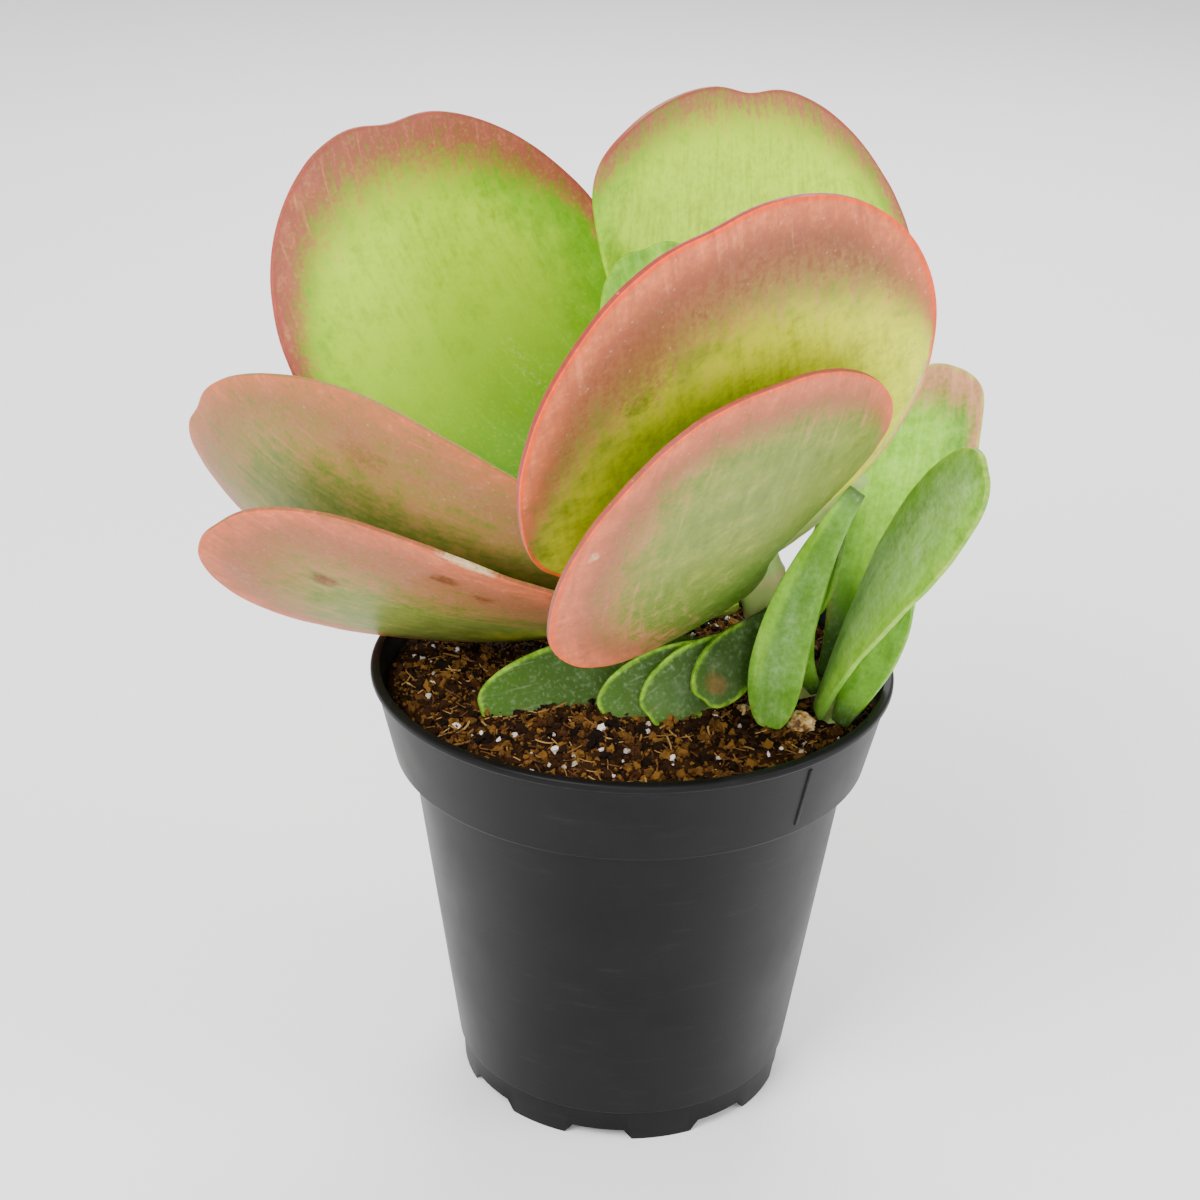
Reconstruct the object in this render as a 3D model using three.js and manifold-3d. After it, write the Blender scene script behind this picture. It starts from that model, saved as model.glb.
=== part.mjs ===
// A potted paddle plant: thick round leaves on a leaning stem, with a young offset beside it,
// in a black nursery pot filled with potting soil. Millimetres, +Z up, the front is towards -Y.
import * as THREE from 'three';
import { mergeVertices } from 'three/addons/utils/BufferGeometryUtils.js';
import Module from 'manifold-3d';

const wasm = await Module();
wasm.setup();

// Driving dimensions of the pot
const LIP_RADIUS = 57.5;
const POT_HEIGHT = 102;
const LIP_HEIGHT = 1.6;
const LIP_PROUD = 0.9;
const COLLAR_HEIGHT = 20;
const COLLAR_BOTTOM_RADIUS = 52.4;
const BODY_TOP_RADIUS = 48.7;
const BODY_BOTTOM_RADIUS = 38.2;
const FOOT_RING_HEIGHT = 8;
const FOOT_RING_RADIUS = 37;
const FOOT_WALL = 1.6;
const WALL = 1.2;
const FLOOR_UNDERSIDE = 4;
const POT_SIDES = 48;

// Notches cut in the foot ring, which leave the feet between them
const NOTCH_COUNT = 8;
const NOTCH_HEIGHT = 2.6;
const NOTCH_BOTTOM_WIDTH = 15.6;
const NOTCH_TOP_WIDTH = 11.6;
const NOTCH_FIRST_DEGREES = -8;

// Drain holes in the floor, and the moulded seam on the collar
const DRAIN_COUNT = 8;
const DRAIN_RADIUS = 3.5;
const DRAIN_RING_RADIUS = 27;
const SEAM_DEGREES = 40.5;
const SEAM_WIDTH = 1.4;
const SEAM_PROUD = 0.4;
const SEAM_BOTTOM = 84;
const SEAM_TOP = 99;

// Soil
const SOIL_EDGE_LEVEL = 96.5;
const SOIL_CROWN = 1.4;
const FIT_GAP = 0.3;

// Stems: foot is the point at soil level, and lean is the way the stem grows
const STEMS = {
  main: { foot: [37, -4, 92], lean: [-0.3, 0.03, 0.95], radius: 5.5, below: 9, above: 53.8 },
  shoot: { foot: [44.8, -12, 150.6], lean: [0.5, -0.2, 0.84], radius: 2.8 },
  offset: { foot: [43.5, -15.5, 94], lean: [0.12, 0.05, 0.99], radius: 3.2, below: 8.5, above: 10.5 },
};
const SHOOT_HEIGHT_ON_STEM = 39;
const STEM_SIDES = 16;
const SHOOT_SIDES = 10;

// A leaf blade, shared by all leaves unless a leaf says otherwise
const LEAF_DEFAULTS = {
  neck: 0.14, widest: 0.6, flare: 1.4, roundness: 2.2, thickness: 4, margin: 1.1, notch: 2,
  sweep: 0, twist: 0, clear: FIT_GAP, rows: 15, columns: 8,
};
const SMALL = { thickness: 2.3, notch: 0.8, rows: 9, columns: 5 };

// Each leaf: the stem it grows on, its height up that stem and the side it leaves from (degrees,
// 0 to the right, 90 to the back), then its heading and rise at the base, how far it bends up and
// sweeps round by its tip, its roll and twist about its midrib, and its length, width and cup.
const LEAVES = {
  leaf_back_left: {
    stem: 'main', height: 50.4, side: 180, heading: 151, rise: 4, bend: 81, sweep: 13,
    roll: -9, twist: -23, length: 116, width: 93, cup: 0.5, widest: 0.5, flare: 1.3, neck: 0.13, clear: 1.5,
  },
  leaf_back_right: {
    stem: 'main', height: 44.6, side: 62, heading: 98, rise: 50, bend: 25, sweep: -2,
    roll: 19, twist: 24, length: 95.5, width: 106.5, cup: 3.5, widest: 0.56, flare: 1.45, neck: 0.12, clear: 2.3,
  },
  leaf_heart: {
    stem: 'main', height: 54.6, side: null, heading: 158, rise: 60, bend: 12,
    roll: -42, length: 55, width: 32, cup: 14, neck: 0.3, thickness: 3, notch: 1, rows: 10, columns: 6,
  },
  leaf_front_upper: {
    stem: 'main', height: 46, side: -80, heading: -95, rise: 23, bend: 45, sweep: -11,
    roll: 21, twist: 31, length: 132, width: 86, cup: 0.5, widest: 0.64, flare: 1.2, neck: 0.14, clear: 0.7,
  },
  leaf_front_lower: {
    stem: 'main', height: 34.9, side: -108, heading: -113, rise: 12, bend: 56, sweep: 48,
    roll: 54, twist: -40, length: 121.5, width: 73, cup: 5, widest: 0.67, flare: 1.1, neck: 0.14, clear: 0.45,
  },
  leaf_left_upper: {
    stem: 'main', height: 36, side: 190, heading: 200, rise: -13, bend: 57, sweep: -48,
    roll: 34, twist: 28, length: 127, width: 90, cup: 22, widest: 0.61, flare: 0.85, neck: 0.14,
  },
  leaf_left_lower: {
    stem: 'main', height: 27.3, side: -167, heading: -176, rise: -14, bend: 53, sweep: 13,
    roll: 27, twist: 23, length: 117.5, width: 58.5, cup: 5.5, widest: 0.59, flare: 0.9, neck: 0.14,
  },
  leaf_soil_1: {
    stem: 'main', height: 15, side: -172, heading: -174, rise: -8, bend: 0, sweep: 16,
    roll: -59, length: 62, width: 20, cup: 8, ...SMALL, thickness: 2.8, neck: 0.17, flare: 1.1, clear: 0.5,
  },
  leaf_soil_2: {
    stem: 'main', height: 19, side: -137, heading: -160, rise: -16, bend: -6,
    roll: -64, length: 38, width: 16, cup: 5, ...SMALL, neck: 0.2,
  },
  leaf_soil_3: {
    stem: 'main', height: 23.5, side: -110, heading: -154, rise: -27, bend: -6,
    roll: -66, length: 32, width: 15, cup: 5, ...SMALL, neck: 0.2, clear: 0.45,
  },
  leaf_soil_4: {
    stem: 'main', height: 28, side: -84, heading: -142, rise: -38, bend: -6,
    roll: -62, length: 25, width: 13, cup: 5, ...SMALL, neck: 0.22, clear: 0.45,
  },
  leaf_drooping_front: {
    stem: 'shoot', height: -1, side: -80, heading: -153, rise: -51, bend: -40,
    roll: 140, length: 56, width: 12, cup: -8, ...SMALL, neck: 0.32, widest: 0.72, clear: 1,
  },
  leaf_drooping_back: {
    stem: 'shoot', height: -1, side: 90, heading: 144, rise: -74, bend: -8,
    roll: 112, length: 36, width: 10, cup: 5, ...SMALL, neck: 0.35, clear: 0.9,
  },
  offset_leaf_tall: {
    stem: 'offset', height: 8, side: 95, heading: 48, rise: 53, bend: 34, sweep: 16,
    roll: 33, twist: 21, length: 72, width: 35.5, cup: 5, neck: 0.28, widest: 0.88,
    thickness: 3, notch: 1.2, rows: 12, columns: 6, clear: 0.4,
  },
  offset_leaf_front: {
    stem: 'offset', height: 5, side: -150, heading: -55, rise: 69, bend: -26, sweep: -12,
    roll: 62, twist: 22, length: 90, width: 20.5, cup: -2, neck: 0.25, widest: 0.67,
    thickness: 2.8, notch: 0.8, rows: 12, columns: 6, clear: 0.4,
  },
  offset_leaf_low: {
    stem: 'offset', height: 3.6, side: -85, heading: -6, rise: 71, bend: 4,
    roll: 62, length: 36, width: 12, cup: 6, ...SMALL, neck: 0.35, clear: 0.8,
  },
  offset_leaf_rim: {
    stem: 'offset', height: 4, side: 5, heading: 18, rise: 66, bend: 4,
    roll: -47, length: 27, width: 13, cup: 6, ...SMALL, neck: 0.35, clear: 0.6,
  },
  offset_leaf_inner: {
    stem: 'offset', height: 7.6, side: 160, heading: 168, rise: 49, bend: 65, sweep: 3,
    roll: 62, twist: 5, length: 26, width: 9, cup: 5, ...SMALL, neck: 0.4, widest: 0.69, clear: 0.7,
  },
};

// Leaves whose tips lie in the soil, each in a shallow pocket of its own shape
const LEAVES_IN_SOIL = ['leaf_soil_1', 'leaf_soil_2', 'leaf_soil_3', 'leaf_soil_4', 'leaf_drooping_front'];

// The crusty stub of an older stem, half sunk in the soil beside the offset
const STUB_CENTRE = [35.8, -20.7, 97.6];
const STUB_HALF_SIZE = [3.3, 2.6, 2.8];

const radians = THREE.MathUtils.degToRad;
const vector = (point) => new THREE.Vector3(...point);

// Solids
function solidOf(geometry) {
  const bare = geometry.index ? geometry.toNonIndexed() : geometry.clone();
  bare.deleteAttribute('normal');
  bare.deleteAttribute('uv');
  const merged = mergeVertices(bare, 1e-4);
  return new wasm.Manifold(new wasm.Mesh({
    numProp: 3,
    vertProperties: new Float32Array(merged.attributes.position.array),
    triVerts: new Uint32Array(merged.index.array),
  }));
}

function geometryOf(solid) {
  const mesh = solid.getMesh();
  const geometry = new THREE.BufferGeometry();
  geometry.setAttribute('position', new THREE.BufferAttribute(new Float32Array(mesh.vertProperties), 3));
  geometry.setIndex(new THREE.BufferAttribute(new Uint32Array(mesh.triVerts), 1));
  geometry.computeVertexNormals();
  return geometry;
}

// A lathe turned round +Z from a closed list of [radius, height] points
function turned(profile, sides) {
  const points = profile.map(([radius, height]) => new THREE.Vector2(radius, height));
  const geometry = new THREE.LatheGeometry(points, sides);
  geometry.rotateX(Math.PI / 2);
  return geometry;
}

// Pot
const collarTopRadius = LIP_RADIUS - LIP_PROUD;
const ledgeHeight = POT_HEIGHT - COLLAR_HEIGHT;
const innerAt = {
  lip: collarTopRadius - WALL,
  collarBottom: COLLAR_BOTTOM_RADIUS - WALL,
  bodyTop: BODY_TOP_RADIUS - WALL,
  floor: BODY_BOTTOM_RADIUS - WALL - 0.6,
};
const floorTop = FLOOR_UNDERSIDE + WALL;

function potBody() {
  return solidOf(turned([
    [0, FLOOR_UNDERSIDE],
    [FOOT_RING_RADIUS - FOOT_WALL, FLOOR_UNDERSIDE],
    [FOOT_RING_RADIUS - FOOT_WALL, 0],
    [FOOT_RING_RADIUS, 0],
    [FOOT_RING_RADIUS + 0.4, FOOT_RING_HEIGHT - 0.5],
    [BODY_BOTTOM_RADIUS, FOOT_RING_HEIGHT],
    [BODY_TOP_RADIUS, ledgeHeight - 0.6],
    [COLLAR_BOTTOM_RADIUS - 0.4, ledgeHeight - 0.4],
    [COLLAR_BOTTOM_RADIUS, ledgeHeight],
    [collarTopRadius, POT_HEIGHT - LIP_HEIGHT - 0.5],
    [LIP_RADIUS, POT_HEIGHT - LIP_HEIGHT],
    [LIP_RADIUS, POT_HEIGHT - 0.4],
    [LIP_RADIUS - 0.5, POT_HEIGHT],
    [innerAt.lip, POT_HEIGHT],
    [innerAt.collarBottom, ledgeHeight + WALL],
    [innerAt.bodyTop, ledgeHeight],
    [innerAt.floor, floorTop],
    [0, floorTop],
  ], POT_SIDES));
}

// A notch is a slot with sloping sides, wider at the bottom, cut outwards through the foot ring
function notch(degrees) {
  const shape = new THREE.Shape([
    new THREE.Vector2(-NOTCH_BOTTOM_WIDTH / 2, -1),
    new THREE.Vector2(NOTCH_BOTTOM_WIDTH / 2, -1),
    new THREE.Vector2(NOTCH_BOTTOM_WIDTH / 2, 0),
    new THREE.Vector2(NOTCH_TOP_WIDTH / 2, NOTCH_HEIGHT),
    new THREE.Vector2(-NOTCH_TOP_WIDTH / 2, NOTCH_HEIGHT),
    new THREE.Vector2(-NOTCH_BOTTOM_WIDTH / 2, 0),
  ]);
  const geometry = new THREE.ExtrudeGeometry(shape, { depth: 12, bevelEnabled: false });
  geometry.translate(0, 0, FOOT_RING_RADIUS - 8);
  geometry.rotateX(Math.PI / 2);
  geometry.rotateZ(radians(degrees));
  return solidOf(geometry);
}

function drain(radius, degrees) {
  const geometry = new THREE.CylinderGeometry(DRAIN_RADIUS, DRAIN_RADIUS, 6, 12);
  geometry.rotateX(Math.PI / 2);
  geometry.translate(0, -radius, FLOOR_UNDERSIDE + WALL / 2);
  geometry.rotateZ(radians(degrees));
  return solidOf(geometry);
}

function seam() {
  const geometry = new THREE.BoxGeometry(SEAM_WIDTH, WALL + SEAM_PROUD, SEAM_TOP - SEAM_BOTTOM);
  const height = (SEAM_TOP + SEAM_BOTTOM) / 2;
  const share = (height - ledgeHeight) / (POT_HEIGHT - LIP_HEIGHT - ledgeHeight);
  const radius = COLLAR_BOTTOM_RADIUS + share * (collarTopRadius - COLLAR_BOTTOM_RADIUS);
  const slope = Math.atan2(collarTopRadius - COLLAR_BOTTOM_RADIUS, COLLAR_HEIGHT - LIP_HEIGHT);
  geometry.rotateX(slope);
  geometry.translate(0, -radius - SEAM_PROUD + (WALL + SEAM_PROUD) / 2, height);
  geometry.rotateZ(radians(SEAM_DEGREES));
  return solidOf(geometry);
}

function potGeometry() {
  let pot = potBody().add(seam());
  for (let i = 0; i < NOTCH_COUNT; i += 1) {
    pot = pot.subtract(notch(NOTCH_FIRST_DEGREES + (360 / NOTCH_COUNT) * i));
  }
  for (let i = 0; i < DRAIN_COUNT; i += 1) {
    pot = pot.subtract(drain(DRAIN_RING_RADIUS, NOTCH_FIRST_DEGREES + (360 / DRAIN_COUNT) * i));
  }
  return geometryOf(pot.subtract(drain(0, 0)));
}

// Stems
function along(stem, height) {
  const { foot, lean } = STEMS[stem];
  return vector(foot).addScaledVector(vector(lean).normalize(), height);
}

function straightStem(stem, extra = 0) {
  const { lean, radius, below, above } = STEMS[stem];
  const length = below + above + extra;
  const geometry = new THREE.CylinderGeometry(radius * 0.95 + extra, radius + extra, length, STEM_SIDES, 1);
  geometry.applyQuaternion(new THREE.Quaternion().setFromUnitVectors(
    new THREE.Vector3(0, 1, 0), vector(lean).normalize()));
  const middle = along(stem, (above - below - extra) / 2);
  geometry.translate(middle.x, middle.y, middle.z);
  return solidOf(geometry);
}

// The side shoot curves out of the main stem and carries the two drooping leaves
function sideShoot() {
  const start = along('main', SHOOT_HEIGHT_ON_STEM);
  const end = along('shoot', 1.5);
  const path = new THREE.CatmullRomCurve3([
    start,
    start.clone().lerp(end, 0.5).add(new THREE.Vector3(0, -1.5, 0)),
    end,
  ]);
  const section = new THREE.Shape();
  section.absarc(0, 0, STEMS.shoot.radius, 0, Math.PI * 2);
  const shape = new THREE.Shape(section.getPoints(SHOOT_SIDES).slice(0, -1));
  return solidOf(new THREE.ExtrudeGeometry(shape, { steps: 8, extrudePath: path, bevelEnabled: false }));
}

// Leaves
// Half the blade's width at a share t of its length: a flaring neck, then a rounded end
function halfWidth(leaf, t) {
  if (t <= leaf.widest) {
    const rise = Math.sin((t / leaf.widest) * (Math.PI / 2)) ** leaf.flare;
    return (leaf.width / 2) * (leaf.neck + (1 - leaf.neck) * rise);
  }
  const past = (t - leaf.widest) / (1 - leaf.widest);
  return (leaf.width / 2) * (1 - past ** leaf.roundness) ** (1 / leaf.roundness);
}

// The share of the length where the rounded end is this far from the midrib
function lengthAt(leaf, side) {
  const off = Math.min(Math.abs(side) / (leaf.width / 2), 1);
  return leaf.widest + (1 - leaf.widest) * (1 - off ** leaf.roundness) ** (1 / leaf.roundness);
}

// Directions at a share t of the midrib: along it, across the blade, and out of its upper face
function directions(leaf, t) {
  const up = radians(leaf.rise + leaf.bend * t);
  const round = radians(leaf.heading + leaf.sweep * t);
  const turn = radians(leaf.roll + leaf.twist * t);
  const forward = new THREE.Vector3(
    Math.cos(up) * Math.cos(round), Math.cos(up) * Math.sin(round), Math.sin(up));
  const level = new THREE.Vector3(-Math.sin(round), Math.cos(round), 0);
  const upright = new THREE.Vector3(
    -Math.sin(up) * Math.cos(round), -Math.sin(up) * Math.sin(round), Math.cos(up));
  const across = level.clone().multiplyScalar(Math.cos(turn)).addScaledVector(upright, Math.sin(turn));
  const outward = level.clone().multiplyScalar(-Math.sin(turn)).addScaledVector(upright, Math.cos(turn));
  return { forward, across, outward };
}

// The midrib's points, stepped along its changing direction from where the leaf meets its stem
function midribOf(leaf) {
  const steps = 60;
  const side = leaf.side === null ? 0 : radians(leaf.side);
  const clear = leaf.side === null
    ? 0
    : STEMS[leaf.stem].radius + leaf.clear + (leaf.thickness / 2) * Math.abs(Math.sin(radians(leaf.rise)));
  const start = along(leaf.stem, leaf.height)
    .add(new THREE.Vector3(Math.cos(side) * clear, Math.sin(side) * clear, 0));
  const points = [start];
  for (let i = 0; i < steps; i += 1) {
    const { forward } = directions(leaf, (i + 0.5) / steps);
    points.push(points[i].clone().addScaledVector(forward, leaf.length / steps));
  }
  return (t) => {
    const place = Math.min(Math.max(t, 0), 1) * steps;
    const i = Math.min(Math.floor(place), steps - 1);
    return points[i].clone().lerp(points[i + 1], place - i);
  };
}

// A closed blade: an upper and a lower face of rows and columns, joined all round their rim
function leafGeometry(leaf, grow = 0) {
  const midrib = midribOf(leaf);
  const { rows, columns } = leaf;
  const endHalf = 0.42 * (leaf.width / 2);
  const endShare = lengthAt(leaf, endHalf);
  const curl = leaf.width / 2 / radians(leaf.cup);
  const upper = [];
  const lower = [];
  for (let i = 0; i <= rows; i += 1) {
    const u = 1 - (1 - i / rows) ** 1.35;
    for (let j = 0; j <= columns; j += 1) {
      const v = Math.sin((j / columns - 0.5) * Math.PI);
      const s = v * (halfWidth(leaf, u * endShare) + grow);
      const t = u * endShare + (lengthAt(leaf, v * endHalf) - endShare) * u ** 4 + (grow / leaf.length) * u;
      const { forward, across, outward } = directions(leaf, t);
      const angle = s / curl;
      const tip = Math.min(Math.max((t - 0.86) / 0.14, 0), 1) ** 2;
      const dent = leaf.notch * Math.exp(-((s / (0.07 * leaf.width + 1)) ** 2)) * tip;
      const point = midrib(t)
        .addScaledVector(across, curl * Math.sin(angle))
        .addScaledVector(outward, curl * (1 - Math.cos(angle)))
        .addScaledVector(forward, -dent);
      const normal = outward.clone().multiplyScalar(Math.cos(angle))
        .addScaledVector(across, -Math.sin(angle));
      const swell = Math.max((1 - Math.abs(v) ** 2.2) * (1 - u ** 8), 0) ** 0.7 * (1 - 0.45 * t);
      const half = (leaf.margin + (leaf.thickness - leaf.margin) * swell) / 2 + grow;
      upper.push(point.clone().addScaledVector(normal, half));
      lower.push(point.clone().addScaledVector(normal, -half));
    }
  }
  const vertices = [...upper, ...lower];
  const wide = columns + 1;
  const below = upper.length;
  const faces = [];
  const quad = (a, b, c, d) => faces.push(a, b, c, a, c, d);
  for (let i = 0; i < rows; i += 1) {
    for (let j = 0; j < columns; j += 1) {
      const a = i * wide + j;
      quad(a, a + wide, a + wide + 1, a + 1);
      faces.push(below + a, below + a + wide + 1, below + a + wide);
      faces.push(below + a, below + a + 1, below + a + wide + 1);
    }
    const left = i * wide;
    const right = left + columns;
    quad(left + below, left + wide + below, left + wide, left);
    quad(right, right + wide, right + wide + below, right + below);
  }
  const last = rows * wide;
  for (let j = 0; j < columns; j += 1) {
    quad(j + below, j, j + 1, j + 1 + below);
    quad(last + j, last + j + below, last + j + 1 + below, last + j + 1);
  }
  const geometry = new THREE.BufferGeometry();
  geometry.setAttribute('position', new THREE.Float32BufferAttribute(
    vertices.flatMap((p) => [p.x, p.y, p.z]), 3));
  geometry.setIndex(faces);
  geometry.computeVertexNormals();
  return geometry;
}

// The stub: a rounded lump whose surface is pushed in and out a little
function stubGeometry(grow = 0) {
  const geometry = mergeVertices(bareGeometry(new THREE.IcosahedronGeometry(1, 2)), 1e-4);
  const position = geometry.attributes.position;
  const point = new THREE.Vector3();
  for (let i = 0; i < position.count; i += 1) {
    point.fromBufferAttribute(position, i);
    const bump = 1 + 0.09 * Math.sin(5 * point.x + 1) * Math.cos(6 * point.y) + 0.05 * Math.sin(9 * point.z);
    point.multiplyScalar(bump);
    position.setXYZ(i,
      STUB_CENTRE[0] + point.x * (STUB_HALF_SIZE[0] + grow),
      STUB_CENTRE[1] + point.y * (STUB_HALF_SIZE[1] + grow),
      STUB_CENTRE[2] + point.z * (STUB_HALF_SIZE[2] + grow));
  }
  geometry.computeVertexNormals();
  return geometry;
}

function bareGeometry(geometry) {
  geometry.deleteAttribute('normal');
  geometry.deleteAttribute('uv');
  return geometry;
}

// Soil: fills the pot to just under its lip, a little higher in the middle, with a plain hole for
// each stem and a shallow pocket where a leaf tip or the stub lies in it
function soilGeometry(leaves) {
  const share = (SOIL_EDGE_LEVEL - ledgeHeight - WALL) / (POT_HEIGHT - ledgeHeight - WALL);
  const edgeRadius = innerAt.collarBottom + share * (innerAt.lip - innerAt.collarBottom);
  const crown = [1, 0.8, 0.55, 0.3].map((reach) => [
    (edgeRadius - FIT_GAP) * reach,
    SOIL_EDGE_LEVEL + SOIL_CROWN * (1 - reach * reach),
  ]);
  let soil = solidOf(turned([
    [0, floorTop + FIT_GAP],
    [innerAt.floor - FIT_GAP, floorTop + FIT_GAP],
    [innerAt.bodyTop - FIT_GAP, ledgeHeight + FIT_GAP],
    [innerAt.collarBottom - FIT_GAP, ledgeHeight + WALL + FIT_GAP],
    ...crown,
    [0, SOIL_EDGE_LEVEL + SOIL_CROWN],
  ], POT_SIDES));
  soil = soil.subtract(straightStem('main', FIT_GAP)).subtract(straightStem('offset', FIT_GAP));
  for (const name of LEAVES_IN_SOIL) {
    soil = soil.subtract(solidOf(leafGeometry(leaves[name], 0.5)));
  }
  return geometryOf(soil.subtract(solidOf(stubGeometry(FIT_GAP))));
}

// The object
const finish = (color, roughness) => new THREE.MeshStandardMaterial({ color, roughness, metalness: 0 });
const materials = {
  pot: finish(0x2b2b2d, 0.45),
  soil: finish(0x3a2416, 0.95),
  stem: finish(0x6f8f45, 0.6),
  ripeLeaf: finish(0xb9a862, 0.5),
  youngLeaf: finish(0x6aa032, 0.5),
  stub: finish(0xd8c48c, 0.9),
};
const RIPE = ['leaf_back_left', 'leaf_back_right', 'leaf_front_upper', 'leaf_front_lower',
  'leaf_left_upper', 'leaf_left_lower'];

const plant = new THREE.Group();
function place(name, geometry, material) {
  const mesh = new THREE.Mesh(geometry, material);
  mesh.name = name;
  plant.add(mesh);
}

const leaves = Object.fromEntries(
  Object.entries(LEAVES).map(([name, leaf]) => [name, { ...LEAF_DEFAULTS, ...leaf }]));

place('pot', potGeometry(), materials.pot);
place('soil', soilGeometry(leaves), materials.soil);
place('main_stem', geometryOf(straightStem('main').add(sideShoot())), materials.stem);
place('offset_stem', geometryOf(straightStem('offset')), materials.stem);
place('old_stem_stub', stubGeometry(), materials.stub);
for (const [name, leaf] of Object.entries(leaves)) {
  place(name, leafGeometry(leaf), RIPE.includes(name) ? materials.ripeLeaf : materials.youngLeaf);
}

// The origin is under the middle of the whole plant's box, at the level the pot stands on
const box = new THREE.Box3().setFromObject(plant);
const middle = box.getCenter(new THREE.Vector3());
plant.position.set(-middle.x, -middle.y, -box.min.z);
plant.updateMatrixWorld(true);

export default plant;
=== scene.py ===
# %% [markdown]
# This lesson dresses a potted paddle plant in Blender. The plant is a thick-leaved succulent with
# round, paddle-shaped leaves that blush red at their rims. It grows in a black nursery pot.
# The solid model is loaded first as a fixed frame, and every piece made here sits where its solid
# is, in metres, with +Z up and the front towards -Y.
# %% Load the frame
import math

import bpy
import numpy as np
from mathutils import Matrix, Vector, noise


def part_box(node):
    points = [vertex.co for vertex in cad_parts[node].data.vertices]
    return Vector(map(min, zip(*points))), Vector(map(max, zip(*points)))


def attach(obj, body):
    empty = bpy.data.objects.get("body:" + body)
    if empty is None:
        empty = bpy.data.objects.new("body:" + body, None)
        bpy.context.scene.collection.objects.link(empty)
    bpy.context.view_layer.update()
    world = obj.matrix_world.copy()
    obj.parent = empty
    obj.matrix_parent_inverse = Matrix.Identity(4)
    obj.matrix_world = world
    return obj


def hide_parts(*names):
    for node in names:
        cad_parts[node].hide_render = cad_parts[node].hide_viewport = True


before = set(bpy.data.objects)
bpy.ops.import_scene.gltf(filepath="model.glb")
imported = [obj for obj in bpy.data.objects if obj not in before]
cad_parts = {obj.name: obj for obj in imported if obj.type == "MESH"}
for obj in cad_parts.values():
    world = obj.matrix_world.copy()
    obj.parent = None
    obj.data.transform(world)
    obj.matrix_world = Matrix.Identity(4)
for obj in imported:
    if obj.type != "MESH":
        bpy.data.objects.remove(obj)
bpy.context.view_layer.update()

MM = 0.001
bpy.ops.object.select_all(action="DESELECT")

# %% [markdown]
# The pot is round, so the middle of its box is the point that the rest is measured from. It isn't
# the origin, because the leaves reach further to one side than to the other.
# %% Find the pot's axis
pot_low, pot_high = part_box("pot")
POT_AXIS = Vector(((pot_low[0] + pot_high[0]) / 2, (pot_low[1] + pot_high[1]) / 2, 0))
print("pot axis", [round(v, 5) for v in POT_AXIS])

# %% [markdown]
# The photograph was taken with a short telephoto lens from a little above the plant. A 70 mm lens
# on a 36 mm sensor half a metre away gives the same look: the near leaves grow larger, but the
# pot's sides stay nearly straight. The camera is rolled by just over a degree, as it was there.
# %% Set the camera
CAMERA_DISTANCE = 0.5085
CAMERA_ELEVATION = math.radians(24.75)
CAMERA_ROLL = math.radians(1.33)
LENS_MM = 70
SENSOR_MM = 36
AIM_FROM_AXIS = Vector((-7.37, 0, 116)) * MM

back = Vector((0, -math.cos(CAMERA_ELEVATION), math.sin(CAMERA_ELEVATION)))
right = Vector((1, 0, 0))
up = Vector((0, math.sin(CAMERA_ELEVATION), math.cos(CAMERA_ELEVATION)))
turned_right = right * math.cos(CAMERA_ROLL) + up * math.sin(CAMERA_ROLL)
turned_up = up * math.cos(CAMERA_ROLL) - right * math.sin(CAMERA_ROLL)
aim = POT_AXIS + AIM_FROM_AXIS

bpy.ops.object.camera_add(location=aim + back * CAMERA_DISTANCE)
camera = bpy.context.object
camera.rotation_euler = Matrix((turned_right, turned_up, back)).transposed().to_euler()
camera.data.lens = LENS_MM
camera.data.sensor_width = SENSOR_MM
bpy.context.scene.camera = camera
print("camera at", [round(v, 4) for v in camera.location])

# %% [markdown]
# The plant stands in a white photographer's tent: pale floor, a bright even world and large soft
# lamps. The key lamp hangs in front and above to the left, and a weaker one stands low in front.
# Another lights the right side of the pot, and one behind makes the thin leaf rims glow.
# %% Floor, world and lamps
bpy.ops.mesh.primitive_plane_add(size=6, location=(0, 0, 0))
floor = bpy.context.object
floor.name = "pale_floor"

world = bpy.data.worlds.new("white_tent")
bpy.context.scene.world = world
world.use_nodes = True
world.node_tree.nodes["Background"].inputs["Color"].default_value = (1.0, 1.0, 1.0, 1)
world.node_tree.nodes["Background"].inputs["Strength"].default_value = 0.95


def soft_lamp(name, place, size, power):
    """A square lamp that faces the plant: its place and size in metres, its power in watts."""
    bpy.ops.object.light_add(type="AREA", location=place)
    lamp = bpy.context.object
    lamp.name = name
    lamp.data.size = size
    lamp.data.energy = power
    lamp.rotation_euler = (aim - Vector(place)).to_track_quat("-Z", "Y").to_euler()


soft_lamp("key_lamp", place=(-0.55, -0.75, 0.95), size=0.6, power=21)
soft_lamp("front_lamp", place=(0.15, -1.1, 0.3), size=0.7, power=8)
soft_lamp("side_lamp", place=(0.95, -0.25, 0.45), size=0.5, power=6)
soft_lamp("back_lamp", place=(0.1, 0.9, 0.9), size=0.7, power=12)

# %% [markdown]
# Colours are written as sRGB hex values, as in a paint program, and one function turns them to the
# linear values that Blender's shaders work with. Another adds one node with its settings and links.
# A Mix node has sockets for numbers and vectors too, so its colour sockets are kept by number.
# %% Colours and nodes
MIX_SHARE, MIX_UNDER, MIX_OVER = 0, 6, 7
MIXED_COLOUR = 2


def colour(hex_value):
    parts = [int(hex_value[i:i + 2], 16) / 255 for i in (1, 3, 5)]
    linear = [p / 12.92 if p <= 0.04045 else ((p + 0.055) / 1.055) ** 2.4 for p in parts]
    return (*linear, 1.0)


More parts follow.
